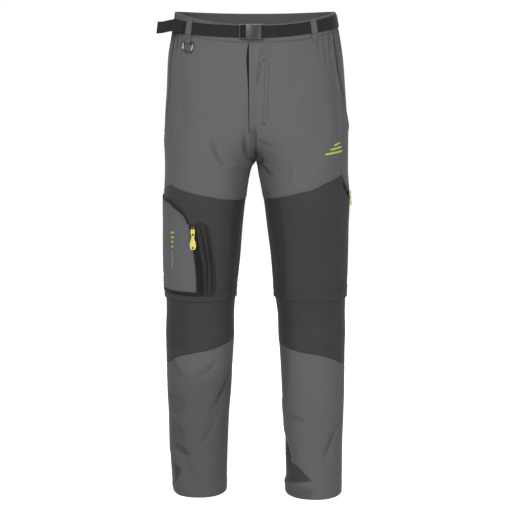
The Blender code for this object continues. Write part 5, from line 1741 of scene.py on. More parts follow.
    def knee_zip(self, name: str, side: float) -> None:
        """Build the zip tape that joins a zip-off leg, all round inside the flap."""
        panel = Panel(f"knee_zip_{name}_tape", side, level(0.0), level(1.0), level(KNEE_ZIP_TOP),
                      level(KNEE_ZIP_FOOT), (Edge.FREE,) * 4,
                      lambda across, height: np.full(across.shape, -KNEE_ZIP_INSET), wall=0.7)
        dress_panel(panel, self.finishes.tape, [f"knee_zip_{name}"])


# Waist


def belt_top(side: np.ndarray, across: np.ndarray) -> np.ndarray:
    """Return the height of the belt's top edge."""
    sine = np.sin(math.pi / 2 * (1.0 - 2.0 * across))
    middle = np.where(across < 0.5, BELT_TOP_FRONT, BELT_TOP_BACK)
    at_side = np.where(side < 0, BELT_TOP_SIDE[RIGHT], BELT_TOP_SIDE[LEFT])
    return middle * sine * sine + at_side * (1.0 - sine * sine)


def round_place(key: np.ndarray) -> tuple[np.ndarray, np.ndarray]:
    """Return side and across of a key: 0 front centre, 1 back centre, 2 front centre past the left hip."""
    key = np.asarray(key, float)
    side = np.where((key < 0) | (key > 1), LEFT, RIGHT)
    return side, np.where(key > 1, 2.0 - key, np.abs(key))


@dataclass
class Waist:
    """Waistband, belt loops and the tab of the ring."""

    finishes: Finishes
    sewing: Sewing
    rim_round: float = 1.1
    stitch_in: float = 2.4
    rim_heights: tuple[float, ...] = (0.0, -0.35, -0.8, -1.3, -2.4)
    seam_heights: tuple[float, ...] = (-36.4, -37.4, -38.0)

    def build(self) -> None:
        """Build the pieces of the waist."""
        front = {loop.side: loop.across for loop in LOOPS if "front" in loop.name}
        lap = float(FORM.across_at(np.array(FLY[0][1]), np.array(0.0))[1])
        self.band("waistband_front_right", lap, front[RIGHT], Edge.FREE)
        self.band("waistband_front_left", -front[LEFT], lap, Edge.FREE)
        self.band("waistband_back", front[RIGHT], 2.0 - front[LEFT], Edge.SEAM)
        for loop in LOOPS:
            self.loop(loop)
        self.tab()

    def band(self, name: str, start: float, end: float, ends: Edge) -> None:
        """Build one length of the waistband, folded at its rim and sewn along both edges."""
        length = abs(end - start) * HALF_WAIST
        keys = mix(start, end, graded(length, 1.6 if ends is Edge.SEAM else CELL))
        heights = np.concatenate([self.rim_heights, np.linspace(-4.5, -34.5, 12), self.seam_heights])
        key, height = np.meshgrid(keys, heights)
        side, across = round_place(key)
        rim = self.rim_round * (1.0 - np.sqrt(np.clip(1.0 - (1.0 + height / 1.3) ** 2, 0.0, 1.0)))
        rim = np.where(height > -1.3, rim, 0.0)
        seam = 0.9 * np.exp(-((height - WAIST_SEAM) / 1.3) ** 2)
        stitched = 0.25 * np.exp(-((height + self.stitch_in) / 0.8) ** 2)
        hips = ease((across - 0.29) / 0.05) * ease((0.66 - across) / 0.05)
        ripple = np.sin(2 * math.pi * (across * HALF_WAIST / 6.3) + 1.2 * np.sin(height / 7.0)) * hips
        casing = np.exp(-((height + 13.0) / 1.2) ** 2) + np.exp(-((height + 25.0) / 1.2) ** 2)
        waves = 0.55 * ripple - 0.5 * hips * casing
        waves *= ease(-height / 5.0) * ease((height - WAIST_SEAM) / 4.0)
        soft = 0.35 * np.sin(key * 37.0 + 0.05 * height) * np.sin(key * 13.0 + 1.0)
        off = soft + waves - rim - seam - stitched
        outer, inner = laid(name, side, across, height, off, 0.0)
        thick = LINED_BAND - rim * 1.6
        inner = FORM.place(side, across, height, off * 0.6 - thick)
        # Painted shade in the troughs of the gathers and along the stitching below the rim
        painted_shade = 0.75 * ease(-waves / 1.1) + 0.35 * np.exp(-((height + self.stitch_in) / 0.7) ** 2)
        piece = shell(name + "_cloth", outer, inner, self.finishes.grey, np.clip(painted_shade, 0.0, 1.0))
        plain = FORM.place(side, across, height, 0.0, False)
        dress_sheet(piece, plain, [name])
        marks = np.linspace(keys[0], keys[-1], max(2, round(length / 3.0)))
        for stitched_at in (-self.stitch_in, WAIST_SEAM + 2.2):
            self.sewing.on_form("grey", *round_place(marks), stitched_at, 0.25)

    def loop(self, loop: Loop) -> None:
        """Build a belt loop as a folded strip bridging the belt, sewn along both edges."""
        base = LOOP_BASE + LOOP_WALL
        over = loop.over + LOOP_WALL
        rise = (over - base) * 0.85
        head = float(belt_top(np.array(loop.side), np.array(loop.across))) + LOOP_CLEAR
        foot = head - BELT_HEIGHT - 2.0 * LOOP_CLEAR
        heights = np.array([-0.2, min(-0.6, head + rise), head, foot, foot - rise, loop.foot])
        lifts = np.array([base - 0.5, base, over, over, base, base])
        run = np.concatenate([[0.0], np.cumsum(np.hypot(np.diff(heights), np.diff(lifts)) + 0.01)])
        marks = np.unique(np.concatenate([run, np.linspace(0.0, run[-1], 44)]))
        height = np.interp(marks, run, heights)
        lift = np.interp(marks, run, lifts)
        for _ in range(3):
            lift[1:-1] = (lift[:-2] + 2 * lift[1:-1] + lift[2:]) / 4
        shares = np.array([-1.0, -0.985, -0.94, -0.85, -0.7, -0.4, 0.0, 0.4, 0.7, 0.85, 0.94, 0.985, 1.0])
        half = loop.width / 2 / HALF_WAIST
        share, high = np.meshgrid(shares, height)
        key = loop.across + share * half if loop.side == RIGHT else 2.0 - loop.across - share * half
        side, across = round_place(key)
        rounding = 0.55 * (1.0 - np.sqrt(np.clip(1.0 - (np.abs(share) - 0.85) ** 2 / 0.0225, 0.0, 1.0)))
        rounding = np.where(np.abs(share) > 0.85, rounding, 0.0)
        groove = 0.16 * np.exp(-((np.abs(share) - 0.78) / 0.07) ** 2)
        off = lift[:, None] - rounding - groove
        outer = FORM.place(side, across, high, off, False)
        inner = FORM.place(side, across, high, lift[:, None] - LOOP_WALL + rounding * 0.4, False)
        # Painted shade along the loop's rounded edges and in its stitch grooves
        painted_shade = np.where(np.abs(share) > 0.9, 0.7, 0.0) + 0.3 * np.exp(-((np.abs(share) - 0.78) / 0.07) ** 2)
        piece = shell(loop.name + "_cloth", outer, inner, self.finishes.grey, painted_shade)
        dress_sheet(piece, outer, [loop.name])
        for edge in (-0.78, 0.78):
            place = round_place(key[4:-2, 6] + edge * half)
            self.sewing.on_form("grey", *place, height[4:-2], lift[4:-2] + 0.06, False)
        for end in (-3.0, loop.foot + 2.6):
            for row in (-0.5, 0.0, 0.5):
                place = round_place(key[0, 6] + np.linspace(-0.8, 0.8, 6) * half)
                self.sewing.on_form("grey", *place, end + row, base + 0.1, False)

    def tab(self) -> None:
        """Build the tab that holds the ring."""
        wall = TAB_WALL
        wrap = RING_WIRE + 0.3 + wall / 2
        near = RING_LIFT - wrap
        path = [(-45.5, near), (-49.0, near)]
        for turn in np.radians(np.linspace(270, 62, 20)):
            path.append((RING_BAR_HEIGHT + wrap * math.cos(turn), RING_LIFT + wrap * math.sin(turn)))
        path.append((-46.2, near + wall + 0.45))
        origin, along, up, out = FORM.axes(RIGHT, RING_ACROSS, RING_BAR_HEIGHT, RING_LIFT)
        track = np.array(path)
        tangent = np.gradient(track, axis=0)
        tangent /= np.linalg.norm(tangent, axis=1, keepdims=True)
        aside = np.stack([-tangent[:, 1], tangent[:, 0]], axis=1) * wall / 2
        shares = np.array([-1.0, -0.96, -0.85, -0.5, 0.0, 0.5, 0.85, 0.96, 1.0])
        faces = []
        for way in (1.0, -1.0):
            edge = track + aside * way
            rows = origin + np.outer(edge[:, 0] - RING_BAR_HEIGHT, up) + np.outer(edge[:, 1] - RING_LIFT, out)
            faces.append(rows[:, None, :] + shares[None, :, None] * (along * TAB_WIDTH / 2))
        piece = shell("ring_tab_cloth", faces[1], faces[0], self.finishes.grey)
        dress_sheet(piece, faces[1], ["ring_tab"])


@dataclass
class Fly:
    """Fly lap with its J-shaped stitching, and the dark tape beside it, which also stands in for the shade in
    the gap.
    """

    finishes: Finishes
    sewing: Sewing
    wall: float = 1.0
    rise: float = 1.7
    rise_from: float = -9.0
    rise_over: float = 9.0
    top: float = -37.6
    stitch_top: float = -40.0

    def build(self) -> None:
        """Build the lap, the tape and the stitching."""
        heights = mix(self.top, FLY_FOOT, graded(self.top - FLY_FOOT, 2.4))
        share, height = np.meshgrid(graded(44.0, 2.0), heights)
        x = mix(FLY_LAP(height), FLY_STITCH(height), share)
        lifted = OVERLAY + self.wall + self.rise * (1.0 - ease((x - self.rise_from) / self.rise_over))
        lifted *= mix(0.72, 1.0, ease((height - FLY_FOOT) / 60.0))
        lifted = mix(lifted, 0.08, ease((share - 0.35) / 0.65))
        crease = -1.6 * np.exp(-(((x - mix(13.0, 1.0, (height + 55.0) / -90.0)) / 2.8) ** 2))
        crease *= ease((height + 155.0) / 40.0) * ease((-44.0 - height) / 14.0)
        edge = 0.5 * np.exp(-((x - FLY_LAP(height)) / 0.7) ** 2)
        wave = 0.3 * np.sin(height / 5.2) * (1.0 - share) * ease((height - FLY_FOOT) / 25.0)
        side, across = FORM.across_at(x, height)
        off = lifted + crease - edge + wave
        outer, inner = laid("fly_flap", side, across, height, off, self.wall)
        # The lap's soft crease also carries painted shade
        piece = shell("fly_lap_cloth", outer, inner, self.finishes.grey, -0.4 * crease)
        plain = FORM.place(side, across, height, 0.0, False)
        dress_sheet(piece, plain, ["fly_flap"])
        self.tape()
        self.stitching()

    def tape(self) -> None:
        """Build the dark zip tape that shows in the gap beside the lap, a real tape that also stands in for
        the gap's shade.
        """
        share, height = np.meshgrid(np.linspace(0.0, 1.0, 9), np.linspace(-38.4, FLY_FOOT + 2.0, 70))
        # The tape reaches left to the gap's edge as a dark strip that also stands for the gap's shade
        x = mix(FLY_GAP(height), -8.5, share)
        side, across = FORM.across_at(x, height)
        off = np.full(x.shape, OVERLAY + 0.3)
        outer, inner = laid("fly_zip", side, across, height, off, 0.6)
        piece = shell("fly_zip_tape", outer, inner, self.finishes.tape)
        dress_sheet(piece, outer, ["fly_zip"])

    def stitching(self) -> None:
        """Sew the double line, the lap's edge and the bar tacks."""
        for x_top, x_foot, foot in ((26.5, 23.0, -214.0), (19.5, 15.5, -222.0)):
            height = np.linspace(self.stitch_top, foot, 70)
            self.sewing.at_front("dark", np.linspace(x_top, x_foot, 70), height, 1.0)
        height = np.linspace(self.stitch_top, FLY_FOOT + 4.0, 60)
        self.sewing.at_front("grey", FLY_LAP(height) + 2.4, height, OVERLAY + self.wall + self.rise + 0.05)
        for x_start, x_end, middle in ((15.0, 20.0, -81.0), (13.5, 18.0, -223.0)):
            for row in np.linspace(-0.8, 0.8, 4):
                self.sewing.at_front("dark", np.linspace(x_start, x_end, 5), middle + row, 1.1)
        for row in np.linspace(-231.0, -259.0, 12):
            off = 2.4 if row > FLY_FOOT + 2.0 else 0.5
            self.sewing.at_front("dark", np.linspace(-11.0, -3.5, 5), row, off)


# Belt


def arc(centre: tuple[float, float], radius: float, start: float, end: float,
        count: int) -> list[tuple[float, float]]:
    """Return points round an arc, its angles in degrees."""
    turns = np.radians(np.linspace(start, end, count))
    return [(centre[0] + radius * math.cos(a), centre[1] + radius * math.sin(a)) for a in turns]


@dataclass
class Belt:
    """Webbing belt: its folded end at the socket, its run round the waist, and its free tail."""

    finishes: Finishes
    sewing: Sewing
    round_edge: float = 0.4

    def build(self) -> None:
        """Build the webbing and the stitching of its folded end."""
        stations = self.mapped(self.socket_path())
        start = float(FORM.across_at(np.array(27.6), np.array(BUCKLE_MIDDLE))[1])
        finish = float(FORM.across_at(np.array(-41.0), np.array(BUCKLE_MIDDLE))[1])
        keys = np.concatenate([np.linspace(-start, -1.0, 110), np.linspace(-1.0, -2.0 + finish, 110)[1:]])
        side, across = round_place(-keys)
        side = -side
        stations = self.join(stations, self.run(side, across, STRAP_CENTRE))
        stations = self.join(stations, self.mapped(self.plug_path()))
        begin = float(FORM.across_at(np.array(-37.0), np.array(BUCKLE_MIDDLE))[1])
        across = np.linspace(begin, LOOPS[0].across + 0.035, 24)
        stations = self.join(stations, self.run(np.full(24, RIGHT), across, TAIL_CENTRE))
        stations = self.join(stations, self.tail())
        piece, width, length = self.ribbon(stations)
        dress(piece, ["belt_strap"])
        for x in (34.0, 35.6, 44.0):
            top = belt_top(*FORM.across_at(np.array(x), np.array(BUCKLE_MIDDLE)))
            height = top - np.linspace(1.5, 23.5, 8)
            off = TAIL_CENTRE + WEBBING / 2 + 0.05
            self.sewing.points("dark", FORM.front_place(np.full(8, x), height, off))

    def socket_path(self) -> list[tuple[float, float]]:
        """Return the folded end round the socket's bar, seen from above: x and lift."""
        x, lift = SOCKET_BAR
        path = [(46.0, TAIL_CENTRE), (34.0, TAIL_CENTRE), (24.0, TAIL_CENTRE + 0.4), (18.5, lift + 1.4)]
        return path + arc((x, lift + 0.1), WRAP_RADIUS + 0.1, 75, 270, 16) + [(19.0, STRAP_CENTRE)]

    def plug_path(self) -> list[tuple[float, float]]:
        """Return the strap through the adjuster and back out as the tail."""
        x, lift = PLUG_BAR
        path = [(x - 7.5, STRAP_CENTRE), (x - 1.5, STRAP_CENTRE), (x + 1.0, STRAP_CENTRE + 0.6)]
        path += arc(PLUG_BAR, WRAP_RADIUS, -30, 180, 16)
        return path + [(x - 2.9, lift - 1.3), (x - 4.5, TAIL_CENTRE + 0.35), (x - 7.0, TAIL_CENTRE)]

    def edges(self, path: Sequence[tuple[float, float]]) -> tuple[np.ndarray, np.ndarray]:
        """Return the left and right edges of a plan path, mitred at its corners."""
        track = np.array(path, float)
        step = np.diff(track, axis=0)
        step /= np.linalg.norm(step, axis=1, keepdims=True)
        first = np.concatenate([step[:1], step])
        second = np.concatenate([step, step[-1:]])
        tangent = first + second
        tangent /= np.linalg.norm(tangent, axis=1, keepdims=True)
        mitre = 1.0 / np.maximum((tangent * first).sum(axis=1), 0.7)
        aside = np.stack([-tangent[:, 1], tangent[:, 0]], axis=1) * (WEBBING / 2 * mitre)[:, None]
        return track + aside, track - aside

    def mapped(self, path: Sequence[tuple[float, float]]) -> np.ndarray:
        """Return stations of a plan path: inner top, inner foot, outer foot and outer top."""
        corners = []
        for edge in self.edges(path):
            x, lift = edge[:, 0], edge[:, 1]
            top = belt_top(*FORM.across_at(x, np.full(x.shape, BUCKLE_MIDDLE)))
            corners.append((FORM.front_place(x, top, lift), FORM.front_place(x, top - BELT_HEIGHT, lift)))
        return np.stack([corners[0][0], corners[0][1], corners[1][1], corners[1][0]], axis=1)

    def run(self, side: np.ndarray, across: np.ndarray, centre: float) -> np.ndarray:
        """Return stations along the waistband."""
        top = belt_top(side, across)
        inner, outer = centre - WEBBING / 2, centre + WEBBING / 2
        heights = (top, top - BELT_HEIGHT, top - BELT_HEIGHT, top)
        offs = (inner, inner, outer, outer)
        return np.stack([FORM.place(side, across, h, o, False) for h, o in zip(heights, offs)], axis=1)

    def tail(self) -> np.ndarray:
        """Return stations of the free tail, its tip cut at a slant."""
        along = np.linspace(0.0, 1.0, 13)
        rows = np.linspace(0.0, 1.0, len(TAIL))
        x, y, top, drop = (np.interp(along, rows, [row[i] for row in TAIL]) for i in range(4))
        left, right = self.edges(list(zip(x, y)))
        inner, outer = (left, right) if left[0, 1] > right[0, 1] else (right, left)
        slip = np.array([x[-1] - x[-2], y[-1] - y[-2]])
        slip /= np.linalg.norm(slip)
        stations = []
        for i in range(len(along)):
            shift = slip * TAIL_SLANT * max(0.0, (i - 9) / 3)
            corners = []
            for edge in (inner[i], outer[i]):
                corners.append([[edge[0], edge[1], top[i]],
                                [edge[0] + shift[0], edge[1] + shift[1], top[i] - drop[i]]])
            stations.append([corners[0][0], corners[0][1], corners[1][1], corners[1][0]])
        return np.array(stations)

    def join(self, first: np.ndarray, second: np.ndarray) -> np.ndarray:
        """Return two lots of stations as one, with the second turned over where its faces are swapped."""
        last, begin = first[-1], second[0]
        straight = np.linalg.norm(last[0] - begin[0]) + np.linalg.norm(last[3] - begin[3])
        crossed = np.linalg.norm(last[0] - begin[3]) + np.linalg.norm(last[3] - begin[0])
        return np.concatenate([first, second if straight < crossed else second[:, [3, 2, 1, 0]]])

    def ribbon(self, stations: np.ndarray) -> tuple[bpy.types.Object, float, float]:
        """Return the webbing as a closed mesh with rounded selvedges, its width and its length."""
        down = stations[:, 1] - stations[:, 0]
        down /= np.linalg.norm(down, axis=1, keepdims=True)
        middle = (stations[:, 0] + stations[:, 3]) / 2
        thick = (stations[:, 3] - stations[:, 0]) / 2
        width = np.linalg.norm(stations[:, 1] - stations[:, 0], axis=1, keepdims=True)
        r = self.round_edge
        profile = ((0.0, -0.45), (r * 0.3, -0.8), (r, -1.0), (0.5, -1.0), (-r, -1.0), (-r * 0.3, -0.8),
                   (-0.0001, -0.45), (-0.0001, 0.45), (-r * 0.3, 0.8), (-r, 1.0), (0.5, 1.0), (r, 1.0),
                   (r * 0.3, 0.8), (0.0, 0.45))
        rings = []
        spread = []
        for place, lift in profile:
            share = width * place if place == 0.5 else (width + place if place < 0 else place + 0.0 * width)
            rings.append(middle + down * share + thick * lift)
            spread.append(share[:, 0])
        points = np.stack(rings, axis=1)
        count, sides = points.shape[:2]
        number = np.arange(count * sides).reshape(count, sides)
        after = np.roll(number, -1, axis=1)
        quads = np.stack([number[:-1], number[1:], after[1:], after[:-1]], axis=-1).reshape(-1, 4)
        faces = [tuple(f) for f in quads.tolist()]
        faces += [tuple(number[0].tolist()), tuple(reversed(number[-1].tolist()))]
        run = np.concatenate([[0.0], np.cumsum(np.linalg.norm(np.diff(middle, axis=0), axis=1))])
        uvs = np.stack([np.repeat(run, sides), np.stack(spread, axis=1).ravel()], axis=1) * MM
        points = points.reshape(-1, 3)
        piece = mesh_object("belt_webbing", points, outward(points, faces), self.finishes.webbing, uvs)
        return piece, BELT_HEIGHT * MM, float(run[-1]) * MM


# Plates: flat outlines with holes, rounded at their edges


def rounded_box(left: float, right: float, foot: float, top: float, corner: float,
                steps: int = 5) -> list[tuple[float, float]]:
    """Return the outline of a rectangle with rounded corners."""
    loop = []
    for x, y, start in ((right - corner, top - corner, 0), (left + corner, top - corner, 90),
                        (left + corner, foot + corner, 180), (right - corner, foot + corner, 270)):
        loop += arc((x, y), corner, start, start + 90, steps)
    return loop


def plate(loops: Sequence[Sequence[tuple[float, float]]], low: float, high: float,
          edge: float) -> tuple[np.ndarray, list[tuple[int, ...]]]:
    """Return a plate with holes and rounded edges.

    Args:
        loops: Its outlines, as x and y.
        low: Where its underside lies.
        high: Where its face lies.
        edge: Radius of its edges.

    Returns:
        Its points and faces.
    """
    data = bpy.data.curves.new("outline", "CURVE")
    data.dimensions = "2D"
    data.fill_mode = "BOTH"
    data.extrude = (high - low) / 2 - edge
    data.bevel_depth = edge
    data.bevel_resolution = 2
    data.offset = -edge
    for loop in loops:
        spline = data.splines.new("POLY")
        spline.points.add(len(loop) - 1)
        for point, (x, y) in zip(spline.points, loop):
            point.co = (x, y, 0.0, 1.0)
        spline.use_cyclic_u = True
    carrier = bpy.data.objects.new("outline", data)
    bpy.context.scene.collection.objects.link(carrier)
    evaluated = carrier.evaluated_get(bpy.context.evaluated_depsgraph_get())
    mesh = bpy.data.meshes.new_from_object(evaluated)
    work = bmesh.new()
    work.from_mesh(mesh)
    bmesh.ops.remove_doubles(work, verts=work.verts, dist=0.0005)
    bmesh.ops.recalc_face_normals(work, faces=work.faces)
    work.verts.index_update()
    points = np.array([vertex.co[:] for vertex in work.verts])
    faces = [tuple(vertex.index for vertex in face.verts) for face in work.faces]
    work.free()
    bpy.data.objects.remove(carrier)
    bpy.data.meshes.remove(mesh)
    points[:, 2] += (low + high) / 2
    return points, faces


class Parts:
    """Gathers closed meshes into one object."""

    def __init__(self) -> None:
        """Start empty."""
        self.points: list[np.ndarray] = []
        self.faces: list[tuple[int, ...]] = []
        self.count = 0

    def add(self, points: np.ndarray, faces: Sequence[Sequence[int]]) -> None:
        """Add a closed mesh, its faces turned outwards."""
        faces = outward(points, [tuple(face) for face in faces])
        self.faces += [tuple(self.count + i for i in face) for face in faces]
        self.points.append(points)
        self.count += len(points)

    def build(self, name: str, material: bpy.types.Material, sharp: float = 50.0) -> bpy.types.Object:
        """Return the object."""
        return mesh_object(name, np.concatenate(self.points), self.faces, material, sharp=sharp)


@dataclass(frozen=True)
class Box:
    """A rounded box of the buckle, from left to right, from foot to top and from low to high."""

    left: float
    right: float
    foot: float
    top: float
    low: float
    high: float
    corner: float
    edge: float


# Sides, bar, floor and core of the socket, under its lid
SOCKET_BOXES = (
    Box(-18.9, 14.5, -16.0, -13.4, 2.6, 8.9, 0.9, 0.5),
    Box(-18.9, 14.5, 13.4, 16.0, 2.6, 8.9, 0.9, 0.5),
    Box(12.65, 14.55, -14.2, 14.2, 3.0, 5.0, 0.5, 0.4),
    Box(-18.6, -5.5, -14.0, 14.0, 2.6, 3.4, 0.9, 0.2),
    Box(-5.8, 8.3, -14.0, 14.0, 3.2, 8.9, 0.9, 0.4),
)


@dataclass
class Buckle:
    """Side-squeeze buckle: a socket with its lid, and the adjuster end of its plug."""

    finishes: Finishes
    half: float = 16.0

    def world(self, points: np.ndarray) -> np.ndarray:
        """Return flat points laid along the front of the waistband."""
        return FORM.front_place(points[:, 0], BUCKLE_MIDDLE + points[:, 1], points[:, 2])

    def build(self) -> None:
        """Build both halves."""
        socket = Parts()
        lid = rounded_box(-19.1, 10.6, -self.half, self.half, 2.2)
        points, faces = plate([lid], 8.6, 10.2, 0.5)
        points[:, 2] += 0.5 * (1.0 - (points[:, 1] / self.half) ** 2)
        points[:, 2] -= 1.5 * ease((points[:, 0] - 1.5) / 9.0) ** 1.5
        socket.add(self.world(points), faces)
        for box in SOCKET_BOXES:
            outline = rounded_box(box.left, box.right, box.foot, box.top, box.corner, 3)
            points, faces = plate([outline], box.low, box.high, box.edge)
            socket.add(self.world(points), faces)
        piece = socket.build("buckle_socket_body", self.finishes.plastic)
        dress(piece, ["buckle_socket"])
        plug = Parts()
        frame = rounded_box(-33.0, -19.7, -self.half, self.half, 1.6)
        gaps = ((-30.9, -26.0), (-24.0, -21.2))
        slots = [rounded_box(left, right, -13.4, 13.4, 0.8, 3) for left, right in gaps]
        points, faces = plate([frame, *slots], 4.35, 6.35, 0.55)
        plug.add(self.world(points), faces)
        points, faces = plate([rounded_box(-20.1, -5.9, -12.6, 12.6, 1.5)], 4.4, 6.3, 0.4)
        plug.add(self.world(points), faces)
        piece = plug.build("buckle_plug_body", self.finishes.plastic)
        dress(piece, ["buckle_plug"])


@dataclass
class KeyRing:
    """Black metal ring on its tab."""

    finishes: Finishes
    sides: int = 16
    wire: float = 1.9

    def build(self) -> None:
        """Build the ring, which swings on its own body."""
        origin, along, up, out = FORM.axes(RIGHT, RING_ACROSS, RING_BAR_HEIGHT, RING_LIFT)
        reach = RING_HALF - RING_CORNER
        path = [(x, 0.0) for x in np.linspace(-reach, reach, 9)]
        path += arc((reach, -RING_CORNER), RING_CORNER, 90, 0, 7)[1:]
        power = 2.0 / RING_SQUARENESS
        for turn in np.radians(np.linspace(0, 180, 41)):
            x = RING_HALF * math.copysign(abs(math.cos(turn)) ** power, math.cos(turn))
            path.append((x, -RING_SHOULDER - (RING_DROP - RING_SHOULDER) * math.sin(turn) ** power))
        path += arc((-reach, -RING_CORNER), RING_CORNER, 180, 90, 7)[:-1]
        track = np.array(path)
        tangent = np.roll(track, -1, axis=0) - np.roll(track, 1, axis=0)
        tangent /= np.linalg.norm(tangent, axis=1, keepdims=True)
        side = np.stack([tangent[:, 1], -tangent[:, 0]], axis=1)
        turns = 2.0 * math.pi * (np.arange(self.sides) + 0.5) / self.sides
        width = mix(RING_WIRE, self.wire, ease((-track[:, 1] - 1.5) / 3.0))
        flat = track[:, None, :] + side[:, None, :] * np.outer(width, np.cos(turns))[..., None]
        lift = np.broadcast_to(RING_WIRE * np.sin(turns), flat.shape[:2])
        points = origin + flat[..., :1] * along + flat[..., 1:] * up + lift[..., None] * out
        count = len(track)
        number = np.arange(count * self.sides).reshape(count, self.sides)
        ahead = np.roll(number, -1, axis=0)
        faces = np.stack([number, np.roll(number, -1, axis=1), np.roll(ahead, -1, axis=1), ahead], axis=-1)
        parts = Parts()
        parts.add(points.reshape(-1, 3), faces.reshape(-1, 4).tolist())
        piece = parts.build("key_ring", self.finishes.metal)
        # Painted highlights on the front of the ring's side bars, drawn as rubbed bare metal
        bare = ease((np.abs(track[:, 0]) - 9.0) / 2.5) * ease((-track[:, 1] - 2.0) / 3.0)
        bare *= ease((track[:, 1] + RING_DROP - 3.0) / 4.0)
        painted_highlight = bare[:, None] * ease((np.sin(turns) - 0.45) / 0.35)[None, :]
        set_shade(piece, painted_highlight)
        dress(piece, ["d_ring"], "d_ring")


# Pockets


def soft_lines(s: np.ndarray, t: np.ndarray, count: float, seed: float) -> np.ndarray:
    """Return soft vertical folds across a gusset, from -1 to 1."""
    bend = s + 0.05 * np.sin(5.0 * t + seed) + 0.03 * np.sin(11.0 * t + 2.0 * seed)
    return np.sin(2 * math.pi * count * bend + seed) * np.sin(math.pi * np.clip(s, 0, 1)) ** 0.5


